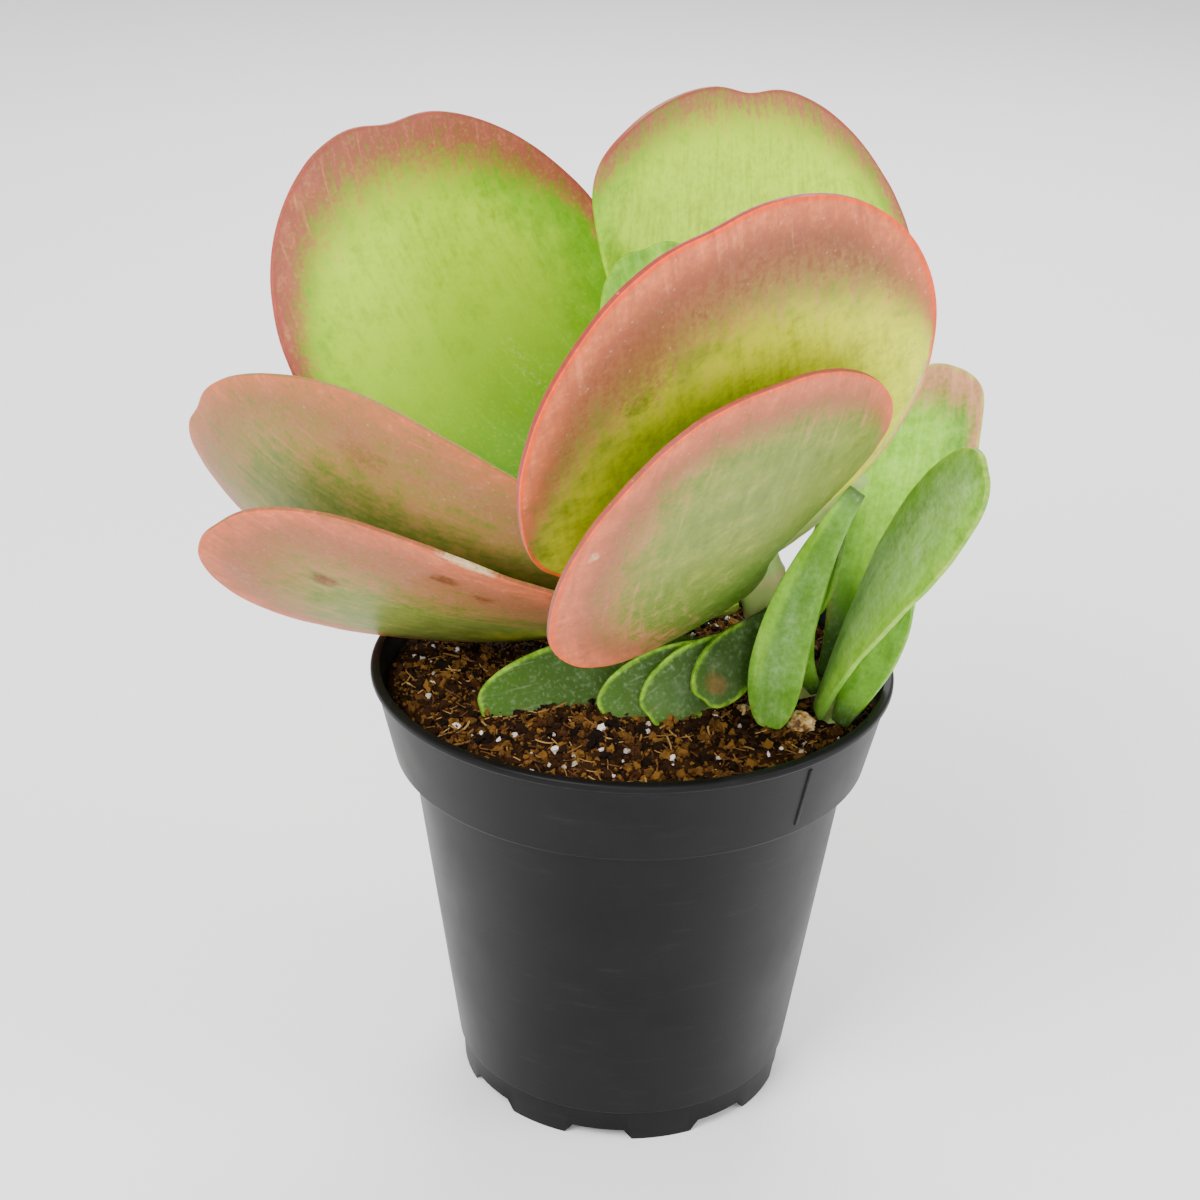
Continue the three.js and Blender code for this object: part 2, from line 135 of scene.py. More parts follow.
def add_node(material, kind, settings=None, values=None, links=None):
    """Adds one node. settings are its properties, values its sockets' own values, links the
    sockets that another node's output feeds."""
    node = material.node_tree.nodes.new(kind)
    for name, value in (settings or {}).items():
        setattr(node, name, value)
    for socket, value in (values or {}).items():
        node.inputs[socket].default_value = value
    for socket, output in (links or {}).items():
        material.node_tree.links.new(output, node.inputs[socket])
    return node


def new_material(name):
    material = bpy.data.materials.new(name)
    material.use_nodes = True
    return material, material.node_tree.nodes["Principled BSDF"]


def connect(material, output, node, socket):
    material.node_tree.links.new(output, node.inputs[socket])


floor_paper, floor_shader = new_material("matt white paper")
floor_shader.inputs["Base Color"].default_value = colour("#F7F7F7")
floor_shader.inputs["Roughness"].default_value = 0.9
floor.data.materials.append(floor_paper)
print("floor material", floor_paper.name)

# %% [markdown]
# A paddle leaf is narrow where it clasps the stem, widens to a round paddle and often has a small
# notch at its tip. It bends and twists as it grows, so its middle line is stepped along a direction
# that changes on the way. The numbers are the ones the solid model was drawn with, in millimetres
# and degrees, so that each leaf lies in its own solid's place. Only three things differ: four big
# leaves have shallower notches, right_cup curls the right half of leaf_back_left forwards, and
# left_trim narrows leaf_back_right on its left, so that the first lies in front of the second.
# %% The stems and the leaves' numbers
STEMS = {
    "main": dict(foot=(37, -4, 92), lean=(-0.3, 0.03, 0.95), radius=5.5, low=-9, high=53.8),
    "shoot": dict(foot=(44.8, -12, 150.6), lean=(0.5, -0.2, 0.84), radius=2.8),
    "offset": dict(foot=(43.5, -15.5, 94), lean=(0.12, 0.05, 0.99), radius=3.2, low=-8.5,
                   high=10.5),
}
PLAIN_LEAF = dict(neck=0.14, widest=0.6, flare=1.4, roundness=2.2, thickness=4, margin=1.1,
                  notch=2, bend=0, sweep=0, roll=0, twist=0, side=None, clear=0.3, left_trim=0,
                  right_cup=0, rows=64, columns=34)
SMALL = dict(thickness=2.3, notch=0.8, rows=36, columns=16)
LEAVES = {
    "leaf_back_left": dict(
        stem="main", height=50.4, side=180, heading=151, rise=4, bend=81, sweep=13, roll=-9,
        twist=-23, length=116, width=93, cup=0.5, neck=0.13, widest=0.5, flare=1.3, clear=1.5,
        right_cup=15),
    "leaf_back_right": dict(
        stem="main", height=44.6, side=62, heading=98, rise=50, bend=25, sweep=-2, roll=19,
        twist=24, length=95.5, width=106.5, cup=3.5, neck=0.12, widest=0.56, flare=1.45, clear=2.3,
        left_trim=0.26),
    "leaf_heart": dict(
        stem="main", height=54.6, heading=158, rise=60, bend=12, roll=-42, length=55, width=32,
        cup=14, neck=0.3, thickness=3, notch=1),
    "leaf_front_upper": dict(
        stem="main", height=46, side=-80, heading=-95, rise=23, bend=45, sweep=-11, roll=21,
        twist=31, length=132, width=86, cup=0.5, widest=0.64, flare=1.2, clear=0.7, notch=0.8),
    "leaf_front_lower": dict(
        stem="main", height=34.9, side=-108, heading=-113, rise=12, bend=56, sweep=48, roll=54,
        twist=-40, length=121.5, width=73, cup=5, widest=0.67, flare=1.1, clear=0.45, notch=0.3),
    "leaf_left_upper": dict(
        stem="main", height=36, side=190, heading=200, rise=-13, bend=57, sweep=-48, roll=34,
        twist=28, length=127, width=90, cup=22, widest=0.61, flare=0.85, notch=1.2),
    "leaf_left_lower": dict(
        stem="main", height=27.3, side=-167, heading=-176, rise=-14, bend=53, sweep=13, roll=27,
        twist=23, length=117.5, width=58.5, cup=5.5, widest=0.59, flare=0.9, notch=0.5),
    "leaf_soil_1": dict(SMALL,
        stem="main", height=15, side=-172, heading=-174, rise=-8, bend=0, sweep=16, roll=-59,
        length=62, width=20, cup=8, neck=0.17, flare=1.1, thickness=2.8, clear=0.5),
    "leaf_soil_2": dict(SMALL,
        stem="main", height=19, side=-137, heading=-160, rise=-16, bend=-6, roll=-64, length=38,
        width=16, cup=5, neck=0.2),
    "leaf_soil_3": dict(SMALL,
        stem="main", height=23.5, side=-110, heading=-154, rise=-27, bend=-6, roll=-66, length=32,
        width=15, cup=5, neck=0.2, clear=0.45),
    "leaf_soil_4": dict(SMALL,
        stem="main", height=28, side=-84, heading=-142, rise=-38, bend=-6, roll=-62, length=25,
        width=13, cup=5, neck=0.22, clear=0.45),
    "leaf_drooping_front": dict(SMALL,
        stem="shoot", height=-1, side=-80, heading=-153, rise=-51, bend=-40, roll=140, length=56,
        width=12, cup=-8, neck=0.32, widest=0.72, clear=1),
    "leaf_drooping_back": dict(SMALL,
        stem="shoot", height=-1, side=90, heading=144, rise=-74, bend=-8, roll=112, length=36,
        width=10, cup=5, neck=0.35, clear=0.9),
    "offset_leaf_tall": dict(
        stem="offset", height=8, side=95, heading=48, rise=53, bend=34, sweep=16, roll=33,
        twist=21, length=72, width=35.5, cup=5, neck=0.28, widest=0.88, thickness=3, notch=1.2,
        clear=0.4),
    "offset_leaf_front": dict(
        stem="offset", height=5, side=-150, heading=-55, rise=69, bend=-26, sweep=-12, roll=62,
        twist=22, length=90, width=20.5, cup=-2, neck=0.25, widest=0.67, thickness=2.8, notch=0.8,
        clear=0.4),
    "offset_leaf_low": dict(SMALL,
        stem="offset", height=3.6, side=-85, heading=-6, rise=71, bend=4, roll=62, length=36,
        width=12, cup=6, neck=0.35, clear=0.8),
    "offset_leaf_rim": dict(SMALL,
        stem="offset", height=4, side=5, heading=18, rise=66, bend=4, roll=-47, length=27,
        width=13, cup=6, neck=0.35, clear=0.6),
    "offset_leaf_inner": dict(SMALL,
        stem="offset", height=7.6, side=160, heading=168, rise=49, bend=65, sweep=3, roll=62,
        twist=5, length=26, width=9, cup=5, neck=0.4, widest=0.69, clear=0.7),
}
print("leaves", len(LEAVES))

# %% [markdown]
# These functions are the leaf's formula. Numpy works out a whole leaf at once: t runs from 0 at the
# stem to 1 at the tip, and v from -1 at the right margin to 1 at the left margin, seen from above
# with the tip away from the eye.
# %% The leaf's formula
MIDRIB_STEPS = 60
END_ROW = 0.42          # share of the half width that the grid's last row spans
NOTCH_START = 0.86      # from here to the tip the notch deepens
NOTCH_WIDTH = 0.07      # share of the leaf's width, to which 1 mm is added
TIP_THINNING = 0.45     # how much less the blade swells at its tip than at its stem


def ramp(value, low, high):
    x = np.clip((value - low) / (high - low), 0, 1)
    return x * x * (3 - 2 * x)


def half_width(leaf, t):
    flaring = np.sin(np.clip(t / leaf["widest"], 0, 1) * math.pi / 2) ** leaf["flare"]
    neck = leaf["neck"] + (1 - leaf["neck"]) * flaring
    past = np.clip((t - leaf["widest"]) / (1 - leaf["widest"]), 0, 1)
    rounded = (1 - past ** leaf["roundness"]) ** (1 / leaf["roundness"])
    return leaf["width"] / 2 * np.where(t <= leaf["widest"], neck, rounded)


def length_at(leaf, side):
    off = np.clip(np.abs(side) / (leaf["width"] / 2), 0, 1)
    rounded = (1 - off ** leaf["roundness"]) ** (1 / leaf["roundness"])
    return leaf["widest"] + (1 - leaf["widest"]) * rounded


def directions(leaf, t):
    rise = np.radians(leaf["rise"] + leaf["bend"] * t)
    heading = np.radians(leaf["heading"] + leaf["sweep"] * t)
    roll = np.radians(leaf["roll"] + leaf["twist"] * t)[..., None]
    forward = np.stack((np.cos(rise) * np.cos(heading), np.cos(rise) * np.sin(heading),
                        np.sin(rise)), -1)
    level = np.stack((-np.sin(heading), np.cos(heading), 0 * t), -1)
    upright = np.stack((-np.sin(rise) * np.cos(heading), -np.sin(rise) * np.sin(heading),
                        np.cos(rise)), -1)
    across = level * np.cos(roll) + upright * np.sin(roll)
    outward = upright * np.cos(roll) - level * np.sin(roll)
    return forward, across, outward


def along(stem, height):
    lean = Vector(STEMS[stem]["lean"]).normalized()
    return Vector(STEMS[stem]["foot"]) + lean * height


def midrib(leaf, t):
    start = along(leaf["stem"], leaf["height"])
    if leaf["side"] is not None:
        side = math.radians(leaf["side"])
        tilt = abs(math.sin(math.radians(leaf["rise"])))
        reach = STEMS[leaf["stem"]]["radius"] + leaf["clear"] + leaf["thickness"] / 2 * tilt
        start = start + Vector((math.cos(side), math.sin(side), 0)) * reach
    forward = directions(leaf, (np.arange(MIDRIB_STEPS) + 0.5) / MIDRIB_STEPS)[0]
    walked = np.vstack((np.zeros(3), np.cumsum(forward, 0))) * leaf["length"] / MIDRIB_STEPS
    points = np.array(start) + walked
    step = np.clip(t, 0, 1) * MIDRIB_STEPS
    return np.stack([np.interp(step, np.arange(MIDRIB_STEPS + 1), points[:, k])
                     for k in range(3)], -1)


def leaf_points(leaf, u, v):
    """The blade's middle layer over a grid of u and v: its points in mm from the pot's axis, the
    direction out of the blade, its thickness, t, and the way s from the midrib in mm."""
    end_half = END_ROW * leaf["width"] / 2
    end_share = length_at(leaf, end_half)
    t = u * end_share + (length_at(leaf, v * end_half) - end_share) * u ** 4
    trimmed = (v > 0) * ramp(t, 0.1, 0.4) * (1 - ramp(t, 0.42, 0.86))
    s = v * half_width(leaf, u * end_share) * (1 - leaf["left_trim"] * trimmed)
    forward, across, outward = directions(leaf, t)
    cup = np.where(v < 0, leaf["cup"] + leaf["right_cup"], leaf["cup"])
    curl = leaf["width"] / 2 / np.radians(cup)
    angle = s / curl
    tip = np.clip((t - NOTCH_START) / (1 - NOTCH_START), 0, 1) ** 2
    dent = leaf["notch"] * np.exp(-(s / (NOTCH_WIDTH * leaf["width"] + 1)) ** 2) * tip
    point = (midrib(leaf, t) + across * (curl * np.sin(angle))[..., None]
             + outward * (curl * (1 - np.cos(angle)))[..., None] - forward * dent[..., None])
    normal = outward * np.cos(angle)[..., None] - across * np.sin(angle)[..., None]
    inside = np.clip((1 - np.abs(v) ** 2.2) * (1 - u ** 8), 0, 1) ** 0.7
    swell = inside * (1 - TIP_THINNING * t)
    thickness = leaf["margin"] + (leaf["thickness"] - leaf["margin"]) * swell
    return point, normal, thickness, t, s


# %% [markdown]
# Each leaf is coloured by where a spot lies on it, which is how the real plant blushes: the margins
# and tips that get the sun turn rose and orange, the heart of the blade is lime green with a
# painted glow where light would shine through, and the neck is a deeper green that is partly
# painted shade.
# A pale waxy bloom lies over all of it. These shares are kept on the mesh as attributes, which the
# leaf's material reads and breaks up with fine patterns.
# %% How each leaf is coloured
BARE_MARGIN = 8         # mm from the margin over which the bloom is thin
RIM_WIDTH = 1.8         # mm of red rim
SUNLIT_WIDTH = 13       # mm from the margin that the sun bleaches
BLUSH_ONSET = 0.32      # share of the leaf's length over which a margin turns red


def patch(t, v, centre_t, centre_v, reach_t, reach_v):
    far = np.sqrt(((t - centre_t) / reach_t) ** 2 + ((v - centre_v) / reach_v) ** 2)
    return 1 - ramp(far, 0.35, 1.0)


# left, right, tip: how far the red reaches in from each margin, in mm; blush: how strong it is;
# lime: where the blade is lime green with a painted glow (t, v, reach along, reach across,
# strength); deep: up to which t the green is dark, partly as painted shade; bloom:
# how much pale wax there is; rim: how red the rim is; rust: how brown the red is; start: up to
# which t the margins stay green; cork and stain: old scars and brown spots, each with the same five
# numbers as lime
GREEN_LEAF = dict(left=1.5, right=1.5, tip=3, blush=0.15, lime=(0.6, 0, 0.5, 0.9, 0.35),
                  deep=0.35, bloom=0.35, rim=0.15, rust=0.0, start=0.08, cork=(), stain=())
LEAF_COLOURS = {
    "leaf_back_left": dict(
        left=5, right=9, tip=27, blush=0.9, lime=(0.6, 0.15, 0.62, 1.2, 0.9), deep=1.05, bloom=0.1,
        rim=0.5, cork=((0.43, -0.92, 0.07, 0.1, 0.7), (0.46, -0.1, 0.12, 0.05, 0.3))),
    "leaf_back_right": dict(
        left=4, right=12, tip=17, blush=0.7, lime=(0.62, 0, 0.75, 1.4, 1.1), deep=0.3, bloom=0.08,
        rim=0.6, stain=((0.62, -0.8, 0.2, 0.25, 0.3),)),
    "leaf_heart": dict(lime=(0.8, 0, 1.2, 1.8, 0.5), deep=1.0, bloom=0.0, rim=0.4),
    # Painted glow: a strong lime patch lifts the lower part of this blade, which lies in the shade
    # of the leaf in front.
    "leaf_front_upper": dict(
        left=15, right=30, tip=40, start=0.6, blush=1.0, lime=(0.42, 0.1, 0.6, 1.6, 1.2), deep=0.0,
        bloom=0.12, rim=0.85, rust=0.65, cork=((0.4, 0.97, 0.25, 0.06, 0.5),),
        stain=((0.84, -0.43, 0.14, 0.3, 0.45), (0.7, 0.1, 0.1, 0.2, 0.25))),
    # Painted shade: the deep green reaches almost to the tip of this blade, whose lower part lies
    # in shade.
    "leaf_front_lower": dict(
        left=3, right=26, tip=20, blush=0.9, lime=(0.5, 0, 0.4, 0.4, 0.15), deep=0.95, bloom=0.18,
        rim=0.6, rust=0.5, cork=((0.78, -0.88, 0.02, 0.05, 0.6),),
        stain=((0.5, -0.75, 0.1, 0.2, 0.4),)),
    "leaf_left_upper": dict(
        left=48, right=10, tip=36, blush=0.68, lime=(0.4, 0, 0.35, 0.7, 0.3), deep=0.6, bloom=0.28,
        rim=0.3, rust=0.6, stain=((0.68, 0.68, 0.1, 0.15, 0.5), (0.4, 0.1, 0.08, 0.2, 0.4))),
    "leaf_left_lower": dict(
        left=44, right=8, tip=44, blush=0.82, lime=(0.25, -0.5, 0.35, 0.7, 0.45), deep=0.05,
        bloom=0.3, rim=0.35, rust=0.5, cork=((0.58, 0.99, 0.1, 0.05, 0.75),),
        stain=((0.6, 0.69, 0.05, 0.1, 0.9), (0.78, 0.06, 0.05, 0.12, 0.9),
               (0.51, 0.59, 0.04, 0.1, 0.8))),
    # Painted shade: the small leaves under the rosette are dark green all over.
    "leaf_soil_1": dict(deep=2.6, rim=0.5, lime=(0.8, 0, 0.2, 0.5, 0.1), bloom=0.12),
    "leaf_soil_2": dict(deep=2.6, rim=0.5, bloom=0.12),
    "leaf_soil_3": dict(deep=2.6, rim=0.5, bloom=0.3),
    "leaf_soil_4": dict(deep=2.6, rim=0.5, bloom=0.3, rust=0.4,
                        stain=((0.8, 0.0, 0.15, 0.8, 0.7),)),
    "offset_leaf_tall": dict(
        left=3, right=6, tip=16, blush=0.9, lime=(0.6, 0, 0.6, 1.0, 0.8), deep=0.5, bloom=0.2,
        rim=0.4, rust=0.3),
    "offset_leaf_front": dict(
        left=1.5, right=2, tip=4, blush=0.3, lime=(0.5, -0.5, 0.7, 1.2, 0.9), deep=0.1, bloom=1.0,
        rim=0.4, rust=0.3),
    "offset_leaf_rim": dict(
        left=3, right=3, tip=4, blush=0.7, lime=(0.5, 0, 0.6, 1.0, 0.9), deep=0.2, bloom=0.3,
        rim=0.9, rust=0.2),
    "leaf_drooping_front": dict(
        blush=0.1, lime=(0.4, 0.7, 0.6, 0.5, 0.8), deep=0.2, bloom=0.7, rim=0.3, rust=0.2),
    # Painted shade: this leaf hangs in shade behind the other drooping leaf, so it is dark green
    # all over.
    "leaf_drooping_back": dict(blush=0.0, deep=1.3, bloom=0.4),
}


def patches(t, v, places):
    total = np.zeros_like(t)
    for *place, strength in places:
        total = np.maximum(total, strength * patch(t, v, *place))
    return total


def leaf_shares(name, leaf, t, v, s):
    look = {**GREEN_LEAF, **LEAF_COLOURS.get(name, {})}
    inset = half_width(leaf, np.clip(t, 0, 0.995)) - np.abs(s)
    to_tip = leaf["length"] * (length_at(leaf, s) - t)
    reach = np.where(v > 0, look["left"], look["right"])
    from_side = 1 - ramp(inset, 0, reach)
    past_start = ramp(t, look["start"], look["start"] + BLUSH_ONSET)
    from_tip = 1 - ramp(to_tip, 0, look["tip"])
    edge = np.minimum(inset, to_tip)
    blush = look["blush"] * np.maximum(from_side * past_start, from_tip)
    centre_t, centre_v, reach_t, reach_v, strength = look["lime"]
    return {
        "blush": blush,
        # Painted glow: a lime patch brightens the blade as if light shone through it.
        "lime": strength * patch(t, v, centre_t, centre_v, reach_t, reach_v) * (1 - 0.5 * blush),
        # Painted shade: darker green from the stem outwards, where the leaves shade each other.
        "deep": 1.15 * (1 - ramp(t, -0.1, look["deep"] + 0.001)),
        "bloom": look["bloom"] * (0.35 + 0.65 * ramp(edge, 0, BARE_MARGIN)),
        "rim": look["rim"] * (1 - ramp(edge, 0.3, RIM_WIDTH)) * ramp(t, 0.1, 0.35),
        "sunlit": blush * (1 - ramp(edge, 1, SUNLIT_WIDTH)),
        "rust": look["rust"] * ramp(blush, 0.1, 0.7),
        "cork": patches(t, v, look["cork"]),
        "stain": patches(t, v, look["stain"]),
    }


print("coloured by hand", len(LEAF_COLOURS))

# %% [markdown]
# A succulent leaf is soft living tissue under a thin waxy skin, and no two spots on it have quite
# the same colour. Its patterns are mottles about 5 mm wide, grains of about 1.2 mm, streaks that
# run along the blade, 1.6 mm wide and 16 mm long, pale flecks of 0.9 mm, and corky specks 2.6 mm
# apart. The streaks follow the blade's own unrolled map, which counts in lengths of 100 mm, and
# the others are solid noise, so they need no map. A blotch is a mean of mottle, streak and grain.
# %% Patterns of the leaf skin
MAP_UNIT = 100
MOTTLE, GRAIN, FLECK, SPECK_SPACING = 5 * MM, 1.2 * MM, 0.9 * MM, 2.6 * MM
STREAK_WIDTH, STREAK_LENGTH = 1.6, 16


def leaf_patterns(skin):
    place = add_node(skin, "ShaderNodeTexCoord").outputs["Object"]
    mottle = add_node(skin, "ShaderNodeTexNoise", None,
                      {"Scale": 1 / MOTTLE, "Detail": 4.0, "Roughness": 0.6},
                      {"Vector": place}).outputs["Fac"]
    grain = add_node(skin, "ShaderNodeTexNoise", None,
                     {"Scale": 1 / GRAIN, "Detail": 3.0, "Roughness": 0.55},
                     {"Vector": place}).outputs["Fac"]
    fleck = add_node(skin, "ShaderNodeTexNoise", None,
                     {"Scale": 1 / FLECK, "Detail": 2.0, "Roughness": 0.5},
                     {"Vector": place}).outputs["Fac"]
    speck = add_node(skin, "ShaderNodeTexVoronoi", {"feature": "F1"},
                     {"Scale": 1 / SPECK_SPACING, "Randomness": 1.0},
                     {"Vector": place}).outputs["Distance"]
    unrolled = add_node(skin, "ShaderNodeUVMap", {"uv_map": "blade"}).outputs["UV"]
    lengthwise = add_node(skin, "ShaderNodeMapping", None,
                          {"Scale": (MAP_UNIT / STREAK_WIDTH, MAP_UNIT / STREAK_LENGTH, 1)},
                          {"Vector": unrolled}).outputs["Vector"]
    streak = add_node(skin, "ShaderNodeTexNoise", None,
                      {"Scale": 1.0, "Detail": 4.0, "Roughness": 0.6, "Distortion": 0.6},
                      {"Vector": lengthwise}).outputs["Fac"]
    mottle_and_streak = add_node(skin, "ShaderNodeMath", {"operation": "ADD"}, None,
                                 {0: mottle, 1: streak}).outputs[0]
    two_shares = add_node(skin, "ShaderNodeMath", {"operation": "MULTIPLY_ADD"},
                          {1: 0.36, 2: -0.04}, {0: mottle_and_streak}).outputs[0]
    blotch = add_node(skin, "ShaderNodeMath", {"operation": "MULTIPLY_ADD"}, {1: 0.33},
                      {0: grain, 2: two_shares}).outputs[0]
    return mottle, grain, fleck, speck, streak, blotch


def broken_up(skin, share, pattern, strength, low, high):
    """A share from 0 to 1, pushed up and down by a pattern so that its edge is broken up."""
    shift = add_node(skin, "ShaderNodeMath", {"operation": "MULTIPLY_ADD"},
                     {1: strength, 2: -strength / 2}, {0: pattern}).outputs[0]
    pushed = add_node(skin, "ShaderNodeMath", {"operation": "ADD"}, None,
                      {0: share, 1: shift}).outputs[0]
    return add_node(skin, "ShaderNodeMapRange", {"interpolation_type": "SMOOTHSTEP"},
                    {"From Min": low, "From Max": high}, {"Value": pushed}).outputs["Result"]


print("patterns in mm", [round(size / MM, 2) for size in (MOTTLE, GRAIN, FLECK, SPECK_SPACING)])

# %% [markdown]
# The colour of a real leaf lies in layers, so it is mixed in layers here: green flesh, lime green
# with a painted glow where light would shine through, a deeper green that is partly painted shade,
# red pigment with rusty patches, sunlit margins, white wax, then the rim, specks, stains and old
# cork. Each layer's share is a pattern or is broken up by one, and each layer is laid over the ones
# before it.
# %% Colour layers of the leaf skin
SPECK_COLOUR = "#E6D8C4"
CORK_COLOUR = "#CDB58C"


def leaf_tone(skin, patterns, lime, green, deep, rose, brown, sunlit, rim, glow):
    mottle, grain, fleck, speck, streak, blotch = patterns
    keys = ("blush", "lime", "deep", "sunlit", "bloom", "rim", "rust", "cork", "stain")
    share = {key: add_node(skin, "ShaderNodeAttribute", {"attribute_name": key}).outputs["Fac"]
             for key in keys}
    # Painted glow: the lime layer brightens patches as if light shone through the blade.
    tone = add_node(skin, "ShaderNodeMix", {"data_type": "RGBA"},
                    {MIX_UNDER: colour(green), MIX_OVER: colour(lime)},
                    {MIX_SHARE: broken_up(skin, share["lime"], mottle, 0.8, 0.05, 0.95)}
                    ).outputs[MIXED_COLOUR]
    red = add_node(skin, "ShaderNodeMix", {"data_type": "RGBA"},
                   {MIX_UNDER: colour(rose), MIX_OVER: colour(brown)},
                   {MIX_SHARE: broken_up(skin, share["rust"], blotch, 2.6, 0.2, 0.9)}
                   ).outputs[MIXED_COLOUR]
    wax = add_node(skin, "ShaderNodeMath", {"operation": "MULTIPLY"}, None,
                   {0: broken_up(skin, share["bloom"], mottle, 0.9, 0.0, 1.3), 1: grain}).outputs[0]
    dust = add_node(skin, "ShaderNodeMapRange", {"interpolation_type": "SMOOTHSTEP"},
                    {"From Min": 0.5, "From Max": 0.75, "To Min": 0.0, "To Max": 0.16},
                    {"Value": fleck}).outputs["Result"]
    pale_streaks = add_node(skin, "ShaderNodeMapRange", {"interpolation_type": "SMOOTHSTEP"},
                            {"From Min": 0.56, "From Max": 0.8, "To Min": 0.0, "To Max": 0.22},
                            {"Value": streak}).outputs["Result"]
    dots = add_node(skin, "ShaderNodeMapRange", None,
                    {"From Min": 0.05, "From Max": 0.13, "To Min": 0.25, "To Max": 0.0},
                    {"Value": speck}).outputs["Result"]
    rusty_dots = add_node(skin, "ShaderNodeMath", {"operation": "MULTIPLY"}, None,
                          {0: dots, 1: share["rust"]}).outputs[0]
    layers = [
        # Painted shade: the deeper green layer darkens the necks and the leaves in shade.
        (broken_up(skin, share["deep"], blotch, 0.9, 0.05, 1.0), deep),
        (broken_up(skin, share["blush"], blotch, 1.9, 0.05, 0.9), red),
        (broken_up(skin, share["sunlit"], blotch, 1.4, 0.15, 1.5), sunlit),
        (wax, glow),
        (dust, glow),
        (pale_streaks, glow),
        (broken_up(skin, share["rim"], blotch, 1.2, 0.1, 0.9), rim),
        (rusty_dots, SPECK_COLOUR),
        (broken_up(skin, share["stain"], fleck, 0.9, 0.2, 1.0), brown),
        (broken_up(skin, share["cork"], fleck, 1.0, 0.2, 0.9), CORK_COLOUR),
    ]
    for amount, over in layers:
        values, links = {}, {MIX_SHARE: amount, MIX_UNDER: tone}
        if isinstance(over, str):
            values[MIX_OVER] = colour(over)
        else:
            links[MIX_OVER] = over
        tone = add_node(skin, "ShaderNodeMix", {"data_type": "RGBA"}, values,
                        links).outputs[MIXED_COLOUR]
    light = add_node(skin, "ShaderNodeMapRange", None,
                     {"From Min": 0.36, "From Max": 0.64, "To Min": 0.66, "To Max": 1.14},
                     {"Value": blotch}).outputs["Result"]
    return add_node(skin, "ShaderNodeHueSaturation", None, None,
                    {"Value": light, "Color": tone}).outputs["Color"]


print("colours of old marks", SPECK_COLOUR, CORK_COLOUR)

# %% [markdown]
# The skin is smooth but not glossy, and a little rougher where its grain is pale. Light goes a
# little way into the flesh, red and green about 1.6 mm and blue less than half as far, so the
# shader scatters some of it under the surface. That gives the eye the soft, full look of a leaf
# that stores water. The inner faces are cleaner and greener than the outer ones, and the small
# leaves have the same plain green skin on both sides.
# %% Leaf skin
SCATTER_DEPTH = 1.6 * MM
SKIN_RELIEF = 0.25 * MM


def leaf_skin(name, **colours):
    skin, shader = new_material(name)
    patterns = leaf_patterns(skin)
    mottle, grain = patterns[:2]
    connect(skin, leaf_tone(skin, patterns, **colours), shader, "Base Color")
    rough = add_node(skin, "ShaderNodeMapRange", None,
                     {"From Min": 0.2, "From Max": 0.8, "To Min": 0.36, "To Max": 0.58},
                     {"Value": grain}).outputs["Result"]
    connect(skin, rough, shader, "Roughness")
    height = add_node(skin, "ShaderNodeMath", {"operation": "ADD"}, None,
                      {0: grain, 1: mottle}).outputs[0]
    bump = add_node(skin, "ShaderNodeBump", None, {"Strength": 0.12, "Distance": SKIN_RELIEF},
                    {"Height": height}).outputs["Normal"]
    connect(skin, bump, shader, "Normal")
    shader.inputs["IOR"].default_value = 1.43
    shader.inputs["Specular IOR Level"].default_value = 0.2
    shader.inputs["Subsurface Weight"].default_value = 0.25
    shader.inputs["Subsurface Radius"].default_value = (1.0, 1.0, 0.4)
    shader.inputs["Subsurface Scale"].default_value = SCATTER_DEPTH
    return skin


# The lime colours are partly a painted glow, and the deep colours partly painted shade.
INNER_SKIN = leaf_skin(
    "waxy leaf skin, inner face", lime="#BAE200", green="#7CBC04", deep="#34740C", rose="#9C4A40",
    brown="#A07040", sunlit="#A85C4C", rim="#963630", glow="#B8D828")
OUTER_SKIN = leaf_skin(
    "waxy leaf skin, outer face", lime="#D2DA04", green="#74862C", deep="#3A600A", rose="#B05844",
    brown="#744624", sunlit="#E27448", rim="#E4521A", glow="#B88E74")
GREEN_SKIN = leaf_skin(
    "waxy skin of young leaves", lime="#8CC81C", green="#6AA024", deep="#2E4A06", rose="#B47A50",
    brown="#7A5A28", sunlit="#D09068", rim="#88C01A", glow="#98B48E")
print("leaf materials", INNER_SKIN.name, OUTER_SKIN.name, GREEN_SKIN.name)

# %% [markdown]
# A leaf starts as a flat grid, one square for each step along and across. Its points are moved by
# the formula, a Solidify modifier gives it its swelling thickness, and Subdivision rounds its rim.
# Solidify gives the underside its own material slot, because the outer face of a paddle leaf has
# another colour than its inner face. Grown leaves are never true, so noise makes the margins wavy
# and gives the faces swellings 14 mm and 5 mm wide.
# %% Make the leaves
ROW_CROWDING = 1.35     # above 1, the grid's rows lie closer together near the tip
EDGE_WAVE = 0.022       # of the half width
FACE_WAVES = [(14, 0.35), (5, 0.14)]    # width and height in mm
RIPE_WIDTH = 40         # in mm, from which a leaf has the skins of a ripe one


def apply_modifiers(piece):
    bpy.context.view_layer.objects.active = piece
    for modifier in list(piece.modifiers):
        bpy.ops.object.modifier_apply(modifier=modifier.name)


